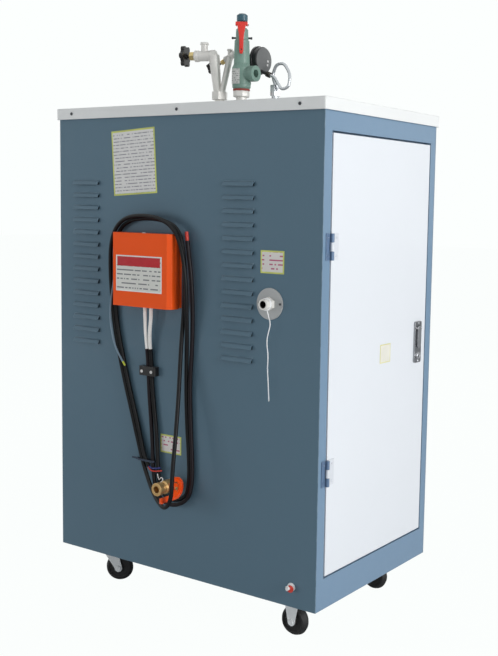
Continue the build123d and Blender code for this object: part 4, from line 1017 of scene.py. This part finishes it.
# Cut threads on the neck behind the valve's nose, and a curl of white thread tape on them.
drain_low, drain_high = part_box("drain_valve")
drain_middle = Vector((at(0.452, 0, 0).x, 0, (drain_low.z + drain_high.z) / 2))
thread_turns = []
for index in range(5):
    middle = Vector((drain_middle.x, wide_side - 0.0615 - index * 0.0020, drain_middle.z))
    thread_turns.append(wound(0.0131, 0.0011, 8, middle, (0, -1, 0)))
settle(joined(thread_turns), "drain_threads", "housing", "brass", drain_brass)
tape_white = finish(
    "tape_white", srgb(240, 240, 238), 0.6, tone=0.04, tone_scale=80.0, edge=0.0004, grain_scale=1500.0,
    dust=0.0)
tape_route = [
    (0.470, 0.060, 0.2900), (0.466, 0.062, 0.2815), (0.460, 0.064, 0.2760), (0.456, 0.066, 0.2800),
    (0.450, 0.066, 0.2860), (0.446, 0.065, 0.2800), (0.450, 0.063, 0.2740), (0.457, 0.062, 0.2700),
]
tape = routed("thread_tape", tape_route, 0.0024, tape_white, 3)
alone(tape)
bpy.ops.object.convert(target="MESH")
tape = bpy.context.object
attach(tape, "housing")

# Earth stud. A zinc-plated stud through the near lower corner of the panel, with a red washer
# and a pale cap nut.
dress(zinc_plate, "earth_stud")
stud_low, stud_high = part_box("earth_stud")
stud_middle = Vector(((stud_low.x + stud_high.x) / 2, 0, (stud_low.z + stud_high.z) / 2))
red_washer = turned([(0.0085, 0), (0.0095, 0.0008), (0.0095, 0.0022), (0.0080, 0.0030)],
                    Vector((stud_middle.x + 0.003, stud_low.y + 0.0112, stud_middle.z - 0.001)),
                    (0.12, -1, 0.0))
settle(red_washer, "earth_red_washer", "housing", "red_core", red_core_sheath)
stud_cap = turned([(0.0062, 0), (0.0066, 0.0012), (0.0060, 0.0040), (0.0030, 0.0056)],
                  Vector((stud_middle.x - 0.002, stud_low.y + 0.0075, stud_middle.z + 0.001)),
                  (-0.2, -1, 0.1), 6)
settle(stud_cap, "earth_cap_nut", "housing", "zinc", tab_white, edge=0.0005)

# Terminal box and clamp. The box is a tray and a cover of folded sheet, coated orange. Below it
# a saddle of black moulded plastic holds both cables, and a nylon tie gathers them lower down.
orange_coat = finish(
    "orange_coat", srgb(250, 90, 26), 0.44, specular=0.3, tone=0.03, tone_scale=6.0, rub=0.35,
    rub_colour=srgb(255, 150, 100), edge=0.0022, grain_scale=800.0, grain_depth=0.00008, dust=0.06)
dress(orange_coat, "terminal_box_tray", "terminal_box_cover")
dress(knob_plastic, "cable_clamp")
tie_nylon = finish(
    "tie_nylon", srgb(44, 56, 74), 0.42, tone_scale=60.0, rub=0.3, rub_colour=srgb(110, 124, 140),
    edge=0.0006, grain_scale=1500.0)
dress(tie_nylon, "cable_tie")

# A rimmed plate on the box's cover, left plain but for a crimson band and ruled lines, a screw
# through the cover's top, the clamp's two white screws and the grommet of the earth wire.
box_low, box_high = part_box("terminal_box_cover")
cover_stand = wide_side - box_low.y
plate_print = printed("plate_print", srgb(222, 222, 216), srgb(120, 122, 124), 0.0118, 0.28, 230.0)
plate_rim = finish(
    "plate_rim", srgb(236, 236, 232), 0.4, tone=0.03, tone_scale=20.0, rub=0.1, edge=0.0006, dust=0.02)
band_crimson = finish(
    "band_crimson", srgb(186, 32, 44), 0.42, tone=0.08, tone_scale=60.0, rub=0.2,
    rub_colour=srgb(210, 90, 90), edge=0.0006, dust=0.02)
label("box_plate", at(0.5485, cover_stand + 0.0006, 0.8150), 0.164, 0.096, 0.0, 0.0035, "housing",
      "white_enamel", plate_print, plate_rim)
label("box_band", at(0.5485, cover_stand + 0.0012, 0.8470), 0.153, 0.025, 0.0, 0.0012, "housing",
      "red_core", band_crimson, band_crimson)
cover_screw = pan_screw(Vector((at(0.5415, 0, 0).x, box_low.y + 0.012, box_high.z)), (0, 0, 1), 0.0042)
settle(cover_screw, "box_top_screw", "housing", "zinc", tab_white)
clamp_stand = 0.0166
clamp_screws = [pan_screw(at(inset, clamp_stand, 0.5495), (0, -1, 0), 0.0044) for inset in (0.5686, 0.5345)]
settle(joined(clamp_screws), "clamp_screws", "housing", "white_enamel", tab_white)
grommet = turned([(0.0075, 0), (0.0075, 0.0012), (0.0058, 0.0030), (0.0036, 0.0030)],
                 at(0.6500, 0.0140, 0.8660), (-1, 0, 0), 28)
settle(grommet, "earth_wire_grommet", "housing", "black_plastic", knob_plastic)
